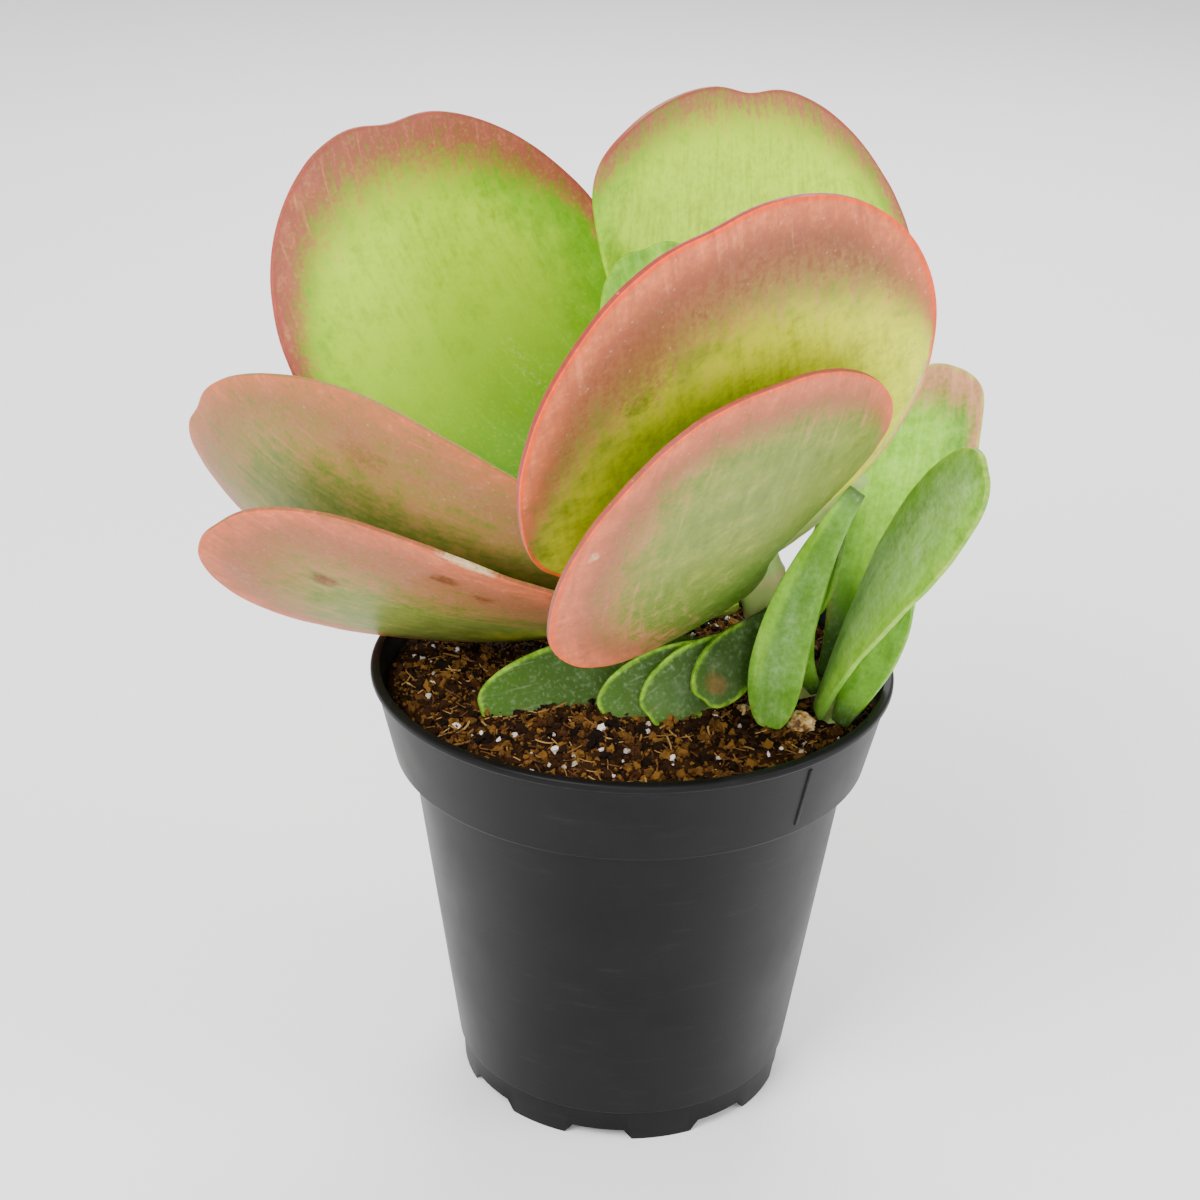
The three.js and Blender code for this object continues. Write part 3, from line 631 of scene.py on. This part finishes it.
def shape_blade(name, leaf):
    """A grid moved to the blade's middle layer, with its map, its colour shares and its group of
    thicknesses."""
    bpy.ops.object.select_all(action="DESELECT")
    bpy.ops.mesh.primitive_grid_add(
        x_subdivisions=leaf["columns"], y_subdivisions=leaf["rows"], size=1)
    blade = bpy.context.object
    blade.name = "blade_of_" + name
    flat = np.empty(len(blade.data.vertices) * 3)
    blade.data.vertices.foreach_get("co", flat)
    flat = flat.reshape(-1, 3)
    u = 1 - (1 - np.clip(flat[:, 1] + 0.5, 0, 1)) ** ROW_CROWDING
    v = -np.sin(np.clip(flat[:, 0], -0.5, 0.5) * math.pi)
    edge = np.array([noise.noise(Vector((a * 5, b * 0.6, leaf["length"]))) for a, b in zip(u, v)])
    point, normal, thickness, t, s = leaf_points(leaf, u, v * (1 + EDGE_WAVE * edge))
    seed = Vector((len(name) * 3.1, leaf["length"], leaf["height"]))
    waves = np.array([sum(height * noise.noise(Vector(p) / width + seed)
                          for width, height in FACE_WAVES) for p in point])
    point += normal * (waves * ramp(t, 0.05, 0.3))[:, None]
    place = point * MM + np.array(POT_AXIS)
    blade.data.vertices.foreach_set("co", place.ravel())
    blade_map = blade.data.uv_layers.active or blade.data.uv_layers.new()
    blade_map.name = "blade"
    corner_points = np.empty(len(blade.data.loops), int)
    blade.data.loops.foreach_get("vertex_index", corner_points)
    unrolled = np.stack((s, t * leaf["length"]), -1)[corner_points] / MAP_UNIT
    blade_map.data.foreach_set("uv", unrolled.ravel())
    for key, values in leaf_shares(name, leaf, t, v, s).items():
        blade.data.attributes.new(key, "FLOAT", "POINT").data.foreach_set("value", values)
    group = blade.vertex_groups.new(name="thickness")
    for i, share in enumerate(thickness / leaf["thickness"]):
        group.add([i], float(share), "REPLACE")
    return blade


def make_leaf(name, numbers):
    leaf = {**PLAIN_LEAF, **numbers}
    blade = shape_blade(name, leaf)
    wall = blade.modifiers.new("thickness", "SOLIDIFY")
    wall.thickness = leaf["thickness"] * MM
    wall.offset = 0
    wall.vertex_group = "thickness"
    wall.material_offset = 1
    wall.material_offset_rim = 0
    smooth = blade.modifiers.new("rounding", "SUBSURF")
    smooth.levels = smooth.render_levels = 1
    ripe = leaf["width"] > RIPE_WIDTH
    for skin in ((INNER_SKIN, OUTER_SKIN) if ripe else (GREEN_SKIN, GREEN_SKIN)):
        blade.data.materials.append(skin)
    apply_modifiers(blade)
    bpy.ops.object.shade_smooth()
    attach(blade, "root")
    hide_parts(name)
    return blade


blades = {name: make_leaf(name, numbers) for name, numbers in LEAVES.items()}
print("leaf triangles", sum(len(b.data.polygons) * 2 for b in blades.values()))

# %% [markdown]
# The nursery pot is moulded from thin black polypropylene. It is turned: a profile of its wall is
# drawn as a closed loop and spun round the axis. A Bevel on the profile's corners gives them the
# soft edge of moulded plastic.
# %% Turn the pot
POT_STEPS = 180
POT_EDGE = 0.35
POT_HEIGHT = 102
LIP_RADIUS = 57.5
COLLAR_LOW = (52.4, 82)
COLLAR_TOP = (56.6, 99.9)
POT_PROFILE = [
    (0, 4), (35.4, 4),                  # under the floor
    (35.4, 0), (37, 0), (37.4, 7.5),    # the foot ring
    (38.2, 8), (48.7, 81.4),            # the outside of the body
    (52, 81.6), COLLAR_LOW,             # the ledge under the collar
    COLLAR_TOP,                         # the outside of the collar
    (LIP_RADIUS, 100.4), (LIP_RADIUS, 101.6), (57, POT_HEIGHT),
    (55.4, POT_HEIGHT), (51.2, 83.2),   # the inside of the collar
    (47.5, 82), (36.4, 5.2), (0, 5.2),  # the inside of the body and the floor
]


def turn(name, profile, steps):
    """Spins a closed loop of (radius, height) points in mm round the pot's axis."""
    bpy.ops.object.select_all(action="DESELECT")
    bpy.ops.mesh.primitive_circle_add(vertices=len(profile), radius=1, fill_type="NOTHING")
    piece = bpy.context.object
    piece.name = name
    for vertex, (radius, height) in zip(piece.data.vertices, profile):
        vertex.co = POT_AXIS + Vector((radius, 0, height)) * MM
    bpy.ops.object.mode_set(mode="EDIT")
    bpy.ops.mesh.select_all(action="SELECT")
    bpy.ops.mesh.spin(steps=steps, angle=2 * math.pi, center=POT_AXIS, axis=(0, 0, 1))
    bpy.ops.mesh.select_all(action="SELECT")
    bpy.ops.mesh.remove_doubles(threshold=0.00001)
    bpy.ops.mesh.dissolve_degenerate(threshold=0.00001)
    bpy.ops.mesh.delete_loose()
    bpy.ops.mesh.select_all(action="SELECT")
    bpy.ops.mesh.normals_make_consistent(inside=False)
    bpy.ops.object.mode_set(mode="OBJECT")
    return piece


def ride_pot(piece, node):
    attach(piece, "root")
    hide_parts(node)


pot_wall = turn("nursery_pot", POT_PROFILE, POT_STEPS)
soft_edges = pot_wall.modifiers.new("soft_edges", "BEVEL")
soft_edges.width = POT_EDGE * MM
soft_edges.segments = 2
soft_edges.limit_method = "ANGLE"
soft_edges.angle_limit = math.radians(25)
apply_modifiers(pot_wall)
print("pot faces", len(pot_wall.data.polygons))

# %% [markdown]
# Eight notches let water run out under the foot, and nine round holes drain the floor. Each notch
# is cut by a tapered block, wider at the bottom, which is turned a step round the axis, and each
# hole by a short cylinder. Boolean modifiers do the cutting. Sizes are in millimetres, and angles
# in degrees round from the front.
# %% Cut the notches and drain holes
NOTCH_COUNT = 8
FIRST_NOTCH = -8
NOTCH_STEP = 360 / NOTCH_COUNT
NOTCH_RADIUS, NOTCH_MIDDLE = 34, 0.8
NOTCH_LOW_WIDTH, NOTCH_TOP_WIDTH = 17.0, 11.6
NOTCH_DEPTH, NOTCH_HALF_HEIGHT = 10, 1.8
DRAIN_RING_RADIUS, DRAIN_MIDDLE = 27, 4.6
DRAIN_RADIUS, DRAIN_LENGTH = 3.5, 6


def turned_place(radius, degrees, height):
    angle = math.radians(degrees)
    return POT_AXIS + Vector((radius * math.sin(angle), -radius * math.cos(angle), height)) * MM


cutters = []
for i in range(NOTCH_COUNT):
    degrees = FIRST_NOTCH + NOTCH_STEP * i
    bpy.ops.mesh.primitive_cube_add(
        size=1, location=turned_place(NOTCH_RADIUS, degrees, NOTCH_MIDDLE))
    block = bpy.context.object
    for vertex in block.data.vertices:
        upper = vertex.co.z > 0
        half_wide = (NOTCH_TOP_WIDTH if upper else NOTCH_LOW_WIDTH) / 2
        vertex.co = Vector((math.copysign(half_wide, vertex.co.x), vertex.co.y * NOTCH_DEPTH,
                            NOTCH_HALF_HEIGHT if upper else -NOTCH_HALF_HEIGHT)) * MM
    block.rotation_euler.z = math.radians(degrees)
    cutters.append(block)
drains = [(DRAIN_RING_RADIUS, FIRST_NOTCH + NOTCH_STEP * i) for i in range(NOTCH_COUNT)]
for radius, degrees in [*drains, (0, 0)]:
    bpy.ops.mesh.primitive_cylinder_add(
        vertices=24, radius=DRAIN_RADIUS * MM, depth=DRAIN_LENGTH * MM,
        location=turned_place(radius, degrees, DRAIN_MIDDLE))
    cutters.append(bpy.context.object)
for cutter in cutters:
    cut = pot_wall.modifiers.new("opening", "BOOLEAN")
    cut.operation = "DIFFERENCE"
    cut.solver = "EXACT"
    cut.object = cutter
apply_modifiers(pot_wall)
for cutter in cutters:
    bpy.data.objects.remove(cutter)
bpy.ops.object.select_all(action="DESELECT")
pot_wall.select_set(True)
bpy.context.view_layer.objects.active = pot_wall
bpy.ops.object.shade_smooth_by_angle(angle=math.radians(32))
print("pot faces after cutting", len(pot_wall.data.polygons))

# %% [markdown]
# Black nursery pots are recycled plastic. The eye sees a dark grey with a dull sheen, finely
# grained, a little cloudy from dust, and with paler scuffs where the pots were stacked.
# The scuffs are stretched noise, about 2 mm high and 14 mm wide, the moulded grain is 0.5 mm, and
# the clouds of dust are 25 mm.
# %% Black plastic
SCUFF_WIDTH, SCUFF_HEIGHT = 100 / 7 * MM, 2 * MM
plastic, plastic_shader = new_material("black recycled polypropylene")
place = add_node(plastic, "ShaderNodeTexCoord").outputs["Object"]
stretched = add_node(plastic, "ShaderNodeMapping", None,
                     {"Scale": (1 / SCUFF_WIDTH, 1 / SCUFF_WIDTH, 1 / SCUFF_HEIGHT)},
                     {"Vector": place}).outputs["Vector"]
scuffs = add_node(plastic, "ShaderNodeTexNoise", None,
                  {"Scale": 1.0, "Detail": 5.0, "Roughness": 0.65},
                  {"Vector": stretched}).outputs["Fac"]
scuff_share = add_node(plastic, "ShaderNodeMapRange", None,
                       {"From Min": 0.58, "From Max": 0.8, "To Min": 0.0, "To Max": 0.3},
                       {"Value": scuffs}).outputs["Result"]
grain = add_node(plastic, "ShaderNodeTexNoise", None,
                 {"Scale": 1 / (0.5 * MM), "Detail": 2.0}, {"Vector": place}).outputs["Fac"]
cloud = add_node(plastic, "ShaderNodeTexNoise", None,
                 {"Scale": 1 / (25 * MM), "Detail": 4.0, "Roughness": 0.6},
                 {"Vector": place}).outputs["Fac"]
shade = add_node(plastic, "ShaderNodeValToRGB", None, None, {"Fac": cloud})
shade.color_ramp.elements[0].position = 0.3
shade.color_ramp.elements[0].color = colour("#0B0B0C")
shade.color_ramp.elements[1].position = 0.75
shade.color_ramp.elements[1].color = colour("#151516")
scuffed = add_node(plastic, "ShaderNodeMix", {"data_type": "RGBA"},
                   {MIX_OVER: colour("#2C2C2E")},
                   {MIX_SHARE: scuff_share, MIX_UNDER: shade.outputs["Color"]}
                   ).outputs[MIXED_COLOUR]
connect(plastic, scuffed, plastic_shader, "Base Color")
dull = add_node(plastic, "ShaderNodeMapRange", None,
                {"From Min": 0.25, "From Max": 0.75, "To Min": 0.34, "To Max": 0.46},
                {"Value": cloud}).outputs["Result"]
connect(plastic, dull, plastic_shader, "Roughness")
bump = add_node(plastic, "ShaderNodeBump", None, {"Strength": 0.12, "Distance": 0.1 * MM},
                {"Height": grain}).outputs["Normal"]
connect(plastic, bump, plastic_shader, "Normal")
plastic_shader.inputs["IOR"].default_value = 1.49
plastic_shader.inputs["Specular IOR Level"].default_value = 0.1
pot_wall.data.materials.append(plastic)
ride_pot(pot_wall, "pot")
print("plastic nodes", len(plastic.node_tree.nodes))

# %% [markdown]
# A short raised seam stands on the collar, where the two halves of the mould met. It is a thin
# block laid along the collar's slope, with its edges rounded.
# %% The mould seam
SEAM_DEGREES = 40.5
SEAM_HEIGHT = 91.5
SEAM_SIZE = (1.1, 1.2, 15)
SEAM_SUNK = 0.35
collar_out = COLLAR_TOP[0] - COLLAR_LOW[0]
collar_up = COLLAR_TOP[1] - COLLAR_LOW[1]
seam_radius = COLLAR_LOW[0] + (SEAM_HEIGHT - COLLAR_LOW[1]) / collar_up * collar_out
bpy.ops.mesh.primitive_cube_add(
    size=1, location=turned_place(seam_radius - SEAM_SUNK, SEAM_DEGREES, SEAM_HEIGHT),
    rotation=(math.atan2(collar_out, collar_up), 0, math.radians(SEAM_DEGREES)))
collar_seam = bpy.context.object
collar_seam.name = "collar_seam"
collar_seam.scale = Vector(SEAM_SIZE) * MM
bpy.ops.object.select_all(action="DESELECT")
collar_seam.select_set(True)
bpy.ops.object.transform_apply(location=True, rotation=True, scale=True)
rounding = collar_seam.modifiers.new("rounding", "BEVEL")
rounding.width = 0.3 * MM
rounding.segments = 3
apply_modifiers(collar_seam)
bpy.ops.object.shade_smooth()
collar_seam.data.materials.append(plastic)
ride_pot(collar_seam, "pot")
print("seam radius in mm", round(seam_radius, 2))

# %% [markdown]
# The soil is a block of peat that fills the pot. It is turned like the pot, with a ring for about
# each millimetre of its surface, which rises a little to the middle. Noise then roughens it with
# humps 12 mm wide and lumps of 4 mm and 1.7 mm, which die out at the pot's wall.
# %% The bed of soil
SOIL_RADIUS = 54.1
SOIL_EDGE_HEIGHT = 96.5
SOIL_MOUND = 1.4
SOIL_RINGS = 54
SOIL_STEPS = 150
SOIL_BUMPS = [(12, 1.0), (4, 0.9), (1.7, 0.5)]      # width and height in mm


def mound_height(radius):
    return SOIL_EDGE_HEIGHT + SOIL_MOUND * (1 - (radius / SOIL_RADIUS) ** 2)


ring_radii = [SOIL_RADIUS * (1 - i / SOIL_RINGS) for i in range(SOIL_RINGS)]
bed_profile = [(0, 5.5), (36.1, 5.5), (47.2, 82.3), (50.9, 83.5),
               *[(radius, mound_height(radius)) for radius in ring_radii], (0, mound_height(0))]
soil_bed = turn("soil_bed", bed_profile, SOIL_STEPS)


def soil_level(point):
    """Height of the soil's surface in mm at a point in mm from the pot's axis."""
    here = Vector((point[0], point[1], 0))
    bumps = sum(noise.noise(here / width) * height for width, height in SOIL_BUMPS)
    from_wall = 1 - here.length / SOIL_RADIUS
    return mound_height(here.length) + bumps * min(1, from_wall * 12)


for vertex in soil_bed.data.vertices:
    here = (vertex.co - POT_AXIS) / MM
    if here.z > SOIL_EDGE_HEIGHT - 1.5:
        vertex.co.z = soil_level(here) * MM
bpy.ops.object.shade_smooth()
print("soil faces", len(soil_bed.data.polygons))

# %% [markdown]
# Potting soil is dark brown peat with paler fibres and white perlite, and the eye sees it as quite
# matt. The noise is 2.5 mm for the patches and 0.6 mm for the grain. Loose bits have the same kind
# of material, and each carries a tone of its own, so that no two are alike.
# %% Peat, fibre and perlite


def peat_material(name, dark, middle, pale, loose):
    peat, shader = new_material(name)
    place = add_node(peat, "ShaderNodeTexCoord").outputs["Object"]
    patchy = add_node(peat, "ShaderNodeTexNoise", None,
                      {"Scale": 1 / (2.5 * MM), "Detail": 6.0, "Roughness": 0.7},
                      {"Vector": place}).outputs["Fac"]
    fine = add_node(peat, "ShaderNodeTexNoise", None,
                    {"Scale": 1 / (0.6 * MM), "Detail": 3.0}, {"Vector": place}).outputs["Fac"]
    tone = patchy
    if loose:
        own = add_node(peat, "ShaderNodeAttribute", {"attribute_name": "tone"}).outputs["Fac"]
        tone = add_node(peat, "ShaderNodeMath", {"operation": "MULTIPLY_ADD"}, {1: 0.35},
                        {0: patchy, 2: own}).outputs[0]
    ramp_node = add_node(peat, "ShaderNodeValToRGB", None, None, {"Fac": tone})
    stops = ramp_node.color_ramp.elements
    stops[0].position = 0.3
    stops[0].color = colour(dark)
    stops[1].position = 0.85
    stops[1].color = colour(pale)
    stops.new(0.55).color = colour(middle)
    connect(peat, ramp_node.outputs["Color"], shader, "Base Color")
    bump = add_node(peat, "ShaderNodeBump", None, {"Strength": 0.6, "Distance": 0.5 * MM},
                    {"Height": fine}).outputs["Normal"]
    connect(peat, bump, shader, "Normal")
    shader.inputs["Roughness"].default_value = 0.95
    shader.inputs["Specular IOR Level"].default_value = 0.12
    return peat


peat_bed = peat_material("damp peat", "#100600", "#2A1606", "#4C2E10", loose=False)
peat_crumb = peat_material("loose peat crumbs", "#110802", "#341C09", "#6C4A1C", loose=True)
fibre_skin = peat_material("dry peat fibre", "#4A2F17", "#6C4A26", "#9A7844", loose=True)
perlite = peat_material("white perlite", "#9A8F84", "#C4BBB2", "#E4DED8", loose=True)
soil_bed.data.materials.append(peat_bed)
ride_pot(soil_bed, "soil")
print("soil materials", peat_bed.name, peat_crumb.name, fibre_skin.name, perlite.name)

# %% [markdown]
# Loose bits lie on the soil, but not where a stem or the dry stub stands. This function copies a
# model's points many times into one mesh, each copy turned, stretched and sunk by its own amount,
# with its own tone. Copying thousands of objects would give the same look, but it would be slow.
# %% A function that scatters bits
LYING_TILT = 0.22
STUB_PLACE = (35.8, -20.7, 97.6)
BARE_SPOTS = [(*STEMS["main"]["foot"][:2], 7.0), (*STEMS["offset"]["foot"][:2], 4.5),
              (*STUB_PLACE[:2], 3.4)]       # x, y and radius in mm
chance = np.random.default_rng(7)


def soil_spots(count, edge):
    spots = []
    while len(spots) < count:
        x, y = chance.uniform(-edge, edge, 2)
        if math.hypot(x, y) > edge:
            continue
        if all(math.hypot(x - cx, y - cy) > r for cx, cy, r in BARE_SPOTS):
            spots.append((x, y))
    return spots


def scatter(name, model, spots, sizes, stretch, sunk, material, lying=False):
    """Copies the model's mesh to each spot. sizes: least and most half size in mm. lying: whether
    each copy lies nearly flat."""
    corners = np.array([v.co for v in model.data.vertices])
    faces = [list(p.vertices) for p in model.data.polygons]
    points, all_faces, tones = [], [], []
    for x, y in spots:
        size = chance.uniform(*sizes)
        turn_x, turn_y, turn_z = chance.uniform(0, 2 * math.pi, 3)
        if lying:
            turn_x, turn_y = chance.normal(0, LYING_TILT, 2)
        own = (Matrix.Rotation(turn_z, 3, "Z") @ Matrix.Rotation(turn_y, 3, "Y")
               @ Matrix.Rotation(turn_x, 3, "X"))
        scale = size * (1 + stretch * chance.uniform(-1, 1, 3))
        where = np.array((x, y, soil_level((x, y, 0)) + size * sunk))
        start = len(points) * len(corners)
        points.append((corners * scale) @ np.array(own).T + where)
        all_faces += [[i + start for i in face] for face in faces]
        tones += [chance.uniform(0.0, 0.75)] * len(corners)
    placed = np.vstack(points) * MM + np.array(POT_AXIS)
    mesh = bpy.data.meshes.new(name)
    mesh.from_pydata(placed.tolist(), [], all_faces)
    mesh.attributes.new("tone", "FLOAT", "POINT").data.foreach_set("value", tones)
    mesh.materials.append(material)
    piece = bpy.data.objects.new(name, mesh)
    bpy.context.collection.objects.link(piece)
    bpy.data.objects.remove(model)
    ride_pot(piece, "soil")
    return piece


print("bare spots", len(BARE_SPOTS))

# %% [markdown]
# Crumbs, grains and perlite start as a ball with few faces, dented by noise. A fibre starts as a
# thin tube with a few rings, bent to both sides and upwards. Each is modelled once and scattered.
# %% Scatter the loose bits
FIBRE_HALF_THICKNESS = 0.07


def ringed_tube(sides, rings):
    """A cylinder of radius 1 and length 1 with extra rings, so that it can be bent."""
    bpy.ops.object.select_all(action="DESELECT")
    bpy.ops.mesh.primitive_cylinder_add(vertices=sides, radius=1, depth=1)
    tube = bpy.context.object
    bpy.ops.object.mode_set(mode="EDIT")
    bpy.ops.mesh.select_mode(type="EDGE")
    bpy.ops.mesh.select_all(action="DESELECT")
    bpy.ops.object.mode_set(mode="OBJECT")
    for edge in tube.data.edges:
        low, high = (tube.data.vertices[i].co.z for i in edge.vertices)
        edge.select = abs(low - high) > 0.5
    bpy.ops.object.mode_set(mode="EDIT")
    bpy.ops.mesh.subdivide_edgering(number_cuts=rings, interpolation="LINEAR")
    bpy.ops.object.mode_set(mode="OBJECT")
    return tube


def rough_ball(subdivisions, strength):
    bpy.ops.mesh.primitive_ico_sphere_add(subdivisions=subdivisions, radius=1)
    ball = bpy.context.object
    for vertex in ball.data.vertices:
        vertex.co *= 1 + strength * noise.noise(vertex.co * 1.7)
    return ball


crumbs = scatter("soil_crumbs", rough_ball(2, strength=0.9), soil_spots(1300, edge=52.0),
                 sizes=(0.35, 1.25), stretch=0.4, sunk=0.2, material=peat_crumb)
grains = scatter("soil_grains", rough_ball(1, strength=0.9), soil_spots(6500, edge=53.2),
                 sizes=(0.18, 0.6), stretch=0.45, sunk=0.3, material=peat_crumb)
bits = scatter("perlite_bits", rough_ball(2, strength=0.6), soil_spots(150, edge=52.0),
               sizes=(0.2, 0.95), stretch=0.3, sunk=0.45, material=perlite)
strand = ringed_tube(sides=4, rings=3)
for vertex in strand.data.vertices:
    x, y, z = vertex.co
    vertex.co = Vector((2 * z, FIBRE_HALF_THICKNESS * y + 0.5 * z * z,
                        FIBRE_HALF_THICKNESS * x + 0.3 * abs(z) ** 3))
fibres = scatter("peat_fibres", strand, soil_spots(900, edge=50.5), sizes=(0.8, 3.0),
                 stretch=0.3, sunk=0.14, material=fibre_skin, lying=True)
print("loose bits", [len(o.data.polygons) for o in (crumbs, grains, bits, fibres)])

# %% [markdown]
# A young stem is green and fleshy, and it turns brown and corky with age and at its old leaf scars.
# Each point of a stem carries its age, and a fine noise of 1.5 mm breaks it up. The dry stub has
# the same kind of skin in paler, browner colours.
# %% Stem skin


def fleshy_skin(name, young, old, scar):
    skin, shader = new_material(name)
    place = add_node(skin, "ShaderNodeTexCoord").outputs["Object"]
    age = add_node(skin, "ShaderNodeAttribute", {"attribute_name": "age"}).outputs["Fac"]
    fine = add_node(skin, "ShaderNodeTexNoise", None,
                    {"Scale": 1 / (1.5 * MM), "Detail": 5.0, "Roughness": 0.65},
                    {"Vector": place}).outputs["Fac"]
    mixed_age = add_node(skin, "ShaderNodeMath", {"operation": "MULTIPLY_ADD"}, {1: 0.6},
                         {0: fine, 2: age}).outputs[0]
    ramp_node = add_node(skin, "ShaderNodeValToRGB", None, None, {"Fac": mixed_age})
    stops = ramp_node.color_ramp.elements
    stops[0].position = 0.3
    stops[0].color = colour(young)
    stops[1].position = 0.75
    stops[1].color = colour(old)
    stops.new(0.95).color = colour(scar)
    connect(skin, ramp_node.outputs["Color"], shader, "Base Color")
    bump = add_node(skin, "ShaderNodeBump", None, {"Strength": 0.35, "Distance": 0.3 * MM},
                    {"Height": fine}).outputs["Normal"]
    connect(skin, bump, shader, "Normal")
    shader.inputs["Roughness"].default_value = 0.6
    shader.inputs["Subsurface Weight"].default_value = 0.15
    shader.inputs["Subsurface Scale"].default_value = 1 * MM
    return skin


STEM_SKIN = fleshy_skin("fleshy green stem", "#8DB052", "#A89A62", "#6E5230")
STUB_SKIN = fleshy_skin("dry corky stub", "#E4D098", "#B8924E", "#6A4418")
print("stem materials", STEM_SKIN.name, STUB_SKIN.name)

# %% [markdown]
# The stems are round and ringed where old leaves have fallen. A cylinder with many rings is swept
# along a path, and its rings swell a little at each leaf scar. The side shoot curves out of the
# main stem, and the offset stands on its own short stalk.
# %% Stems
SCAR_SWELLING = 0.09
SCAR_WIDTH = 0.02
PATH_STEP = 0.02
FOOT_AGE = 0.3


def make_stem(name, path, radius, scars, node):
    """path: points in mm; radius: at the start and at the end; scars: places along it, 0 to 1."""
    stem = ringed_tube(sides=28, rings=40)
    stem.name = name
    ends = np.array(path, float)
    where = np.linspace(0, 1, len(ends))
    ages = []
    for vertex in stem.data.vertices:
        share = vertex.co.z + 0.5
        middle = Vector([np.interp(share, where, ends[:, k]) for k in range(3)])
        after = min(share + PATH_STEP, 1)
        before = max(share - PATH_STEP, 0)
        ahead = Vector([np.interp(after, where, ends[:, k]) for k in range(3)])
        behind = Vector([np.interp(before, where, ends[:, k]) for k in range(3)])
        frame_turn = (ahead - behind).to_track_quat("Z", "X").to_matrix()
        swelling = sum(SCAR_SWELLING * math.exp(-((share - scar) / SCAR_WIDTH) ** 2)
                       for scar in scars)
        swelling += 0.03 * noise.noise(middle / 4 + vertex.co)
        thick = radius[0] + (radius[1] - radius[0]) * share
        ring = Vector((vertex.co.x, vertex.co.y, 0)) * thick * (1 + swelling)
        ages.append(FOOT_AGE * (1 - share) + swelling * 3)
        vertex.co = POT_AXIS + (middle + frame_turn @ ring) * MM
    stem.data.attributes.new("age", "FLOAT", "POINT").data.foreach_set("value", ages)
    stem.data.materials.append(STEM_SKIN)
    bpy.ops.object.shade_smooth_by_angle(angle=math.radians(50))
    ride_pot(stem, node)
    return stem


def straight_path(stem):
    return [along(stem, STEMS[stem]["low"]), along(stem, STEMS[stem]["high"])]


def curved_path(start, middle, end):
    shares = [i / 12 for i in range(13)]
    return [start * (1 - t) ** 2 + middle * 2 * t * (1 - t) + end * t * t for t in shares]


main_stem = make_stem("trunk", straight_path("main"), radius=(5.5, 5.22),
                      scars=(0.3, 0.42, 0.55, 0.68, 0.8, 0.9), node="main_stem")
shoot_start = along("main", 39)
shoot_end = along("shoot", 1.5)
shoot_middle = (shoot_start + shoot_end) / 2 + Vector((0, -3, 0))
side_shoot = make_stem("side_shoot", curved_path(shoot_start, shoot_middle, shoot_end),
                       radius=(2.8, 2.8), scars=(0.7, 0.9), node="main_stem")
offset_stem = make_stem("offset_stalk", straight_path("offset"), radius=(3.2, 3.04),
                        scars=(0.55, 0.75, 0.9), node="offset_stem")
print("stems", main_stem.name, side_shoot.name, offset_stem.name)

# %% [markdown]
# Beside the offset a pale, crusty stub is left of an older stem, and two smaller crusts lie in the
# soil in front of the stem. A fine ball is stretched to its size and roughened at three sizes.
# %% The dry stub and the crusts
CRUST_BUMPS = [(1.6, 0.2), (4, 0.14), (11, 0.07)]       # how fine they are, and how high


def crust(name, centre, half_size, node):
    bpy.ops.object.select_all(action="DESELECT")
    bpy.ops.mesh.primitive_ico_sphere_add(subdivisions=5, radius=1)
    lump = bpy.context.object
    lump.name = name
    ages = []
    for vertex in lump.data.vertices:
        near = vertex.co + Vector(centre)
        rough = sum(height * noise.noise(near * fineness) for fineness, height in CRUST_BUMPS)
        ages.append(0.45 - rough * 2.5)
        size = 0.96 + rough
        place = [c + v * h * size for c, v, h in zip(centre, vertex.co, half_size)]
        vertex.co = POT_AXIS + Vector(place) * MM
    lump.data.attributes.new("age", "FLOAT", "POINT").data.foreach_set("value", ages)
    lump.data.materials.append(STUB_SKIN)
    bpy.ops.object.shade_smooth()
    ride_pot(lump, node)
    return lump


stub = crust("corky_stub", STUB_PLACE, half_size=(3.3, 2.6, 2.8),
             node="old_stem_stub")
crust("crust_left", (14, -17, 97.4), half_size=(2.4, 2.0, 1.8), node="soil")
crust("crust_right", (24, -15, 97.2), half_size=(2.0, 1.8, 1.7), node="soil")
print("stub faces", len(stub.data.polygons))
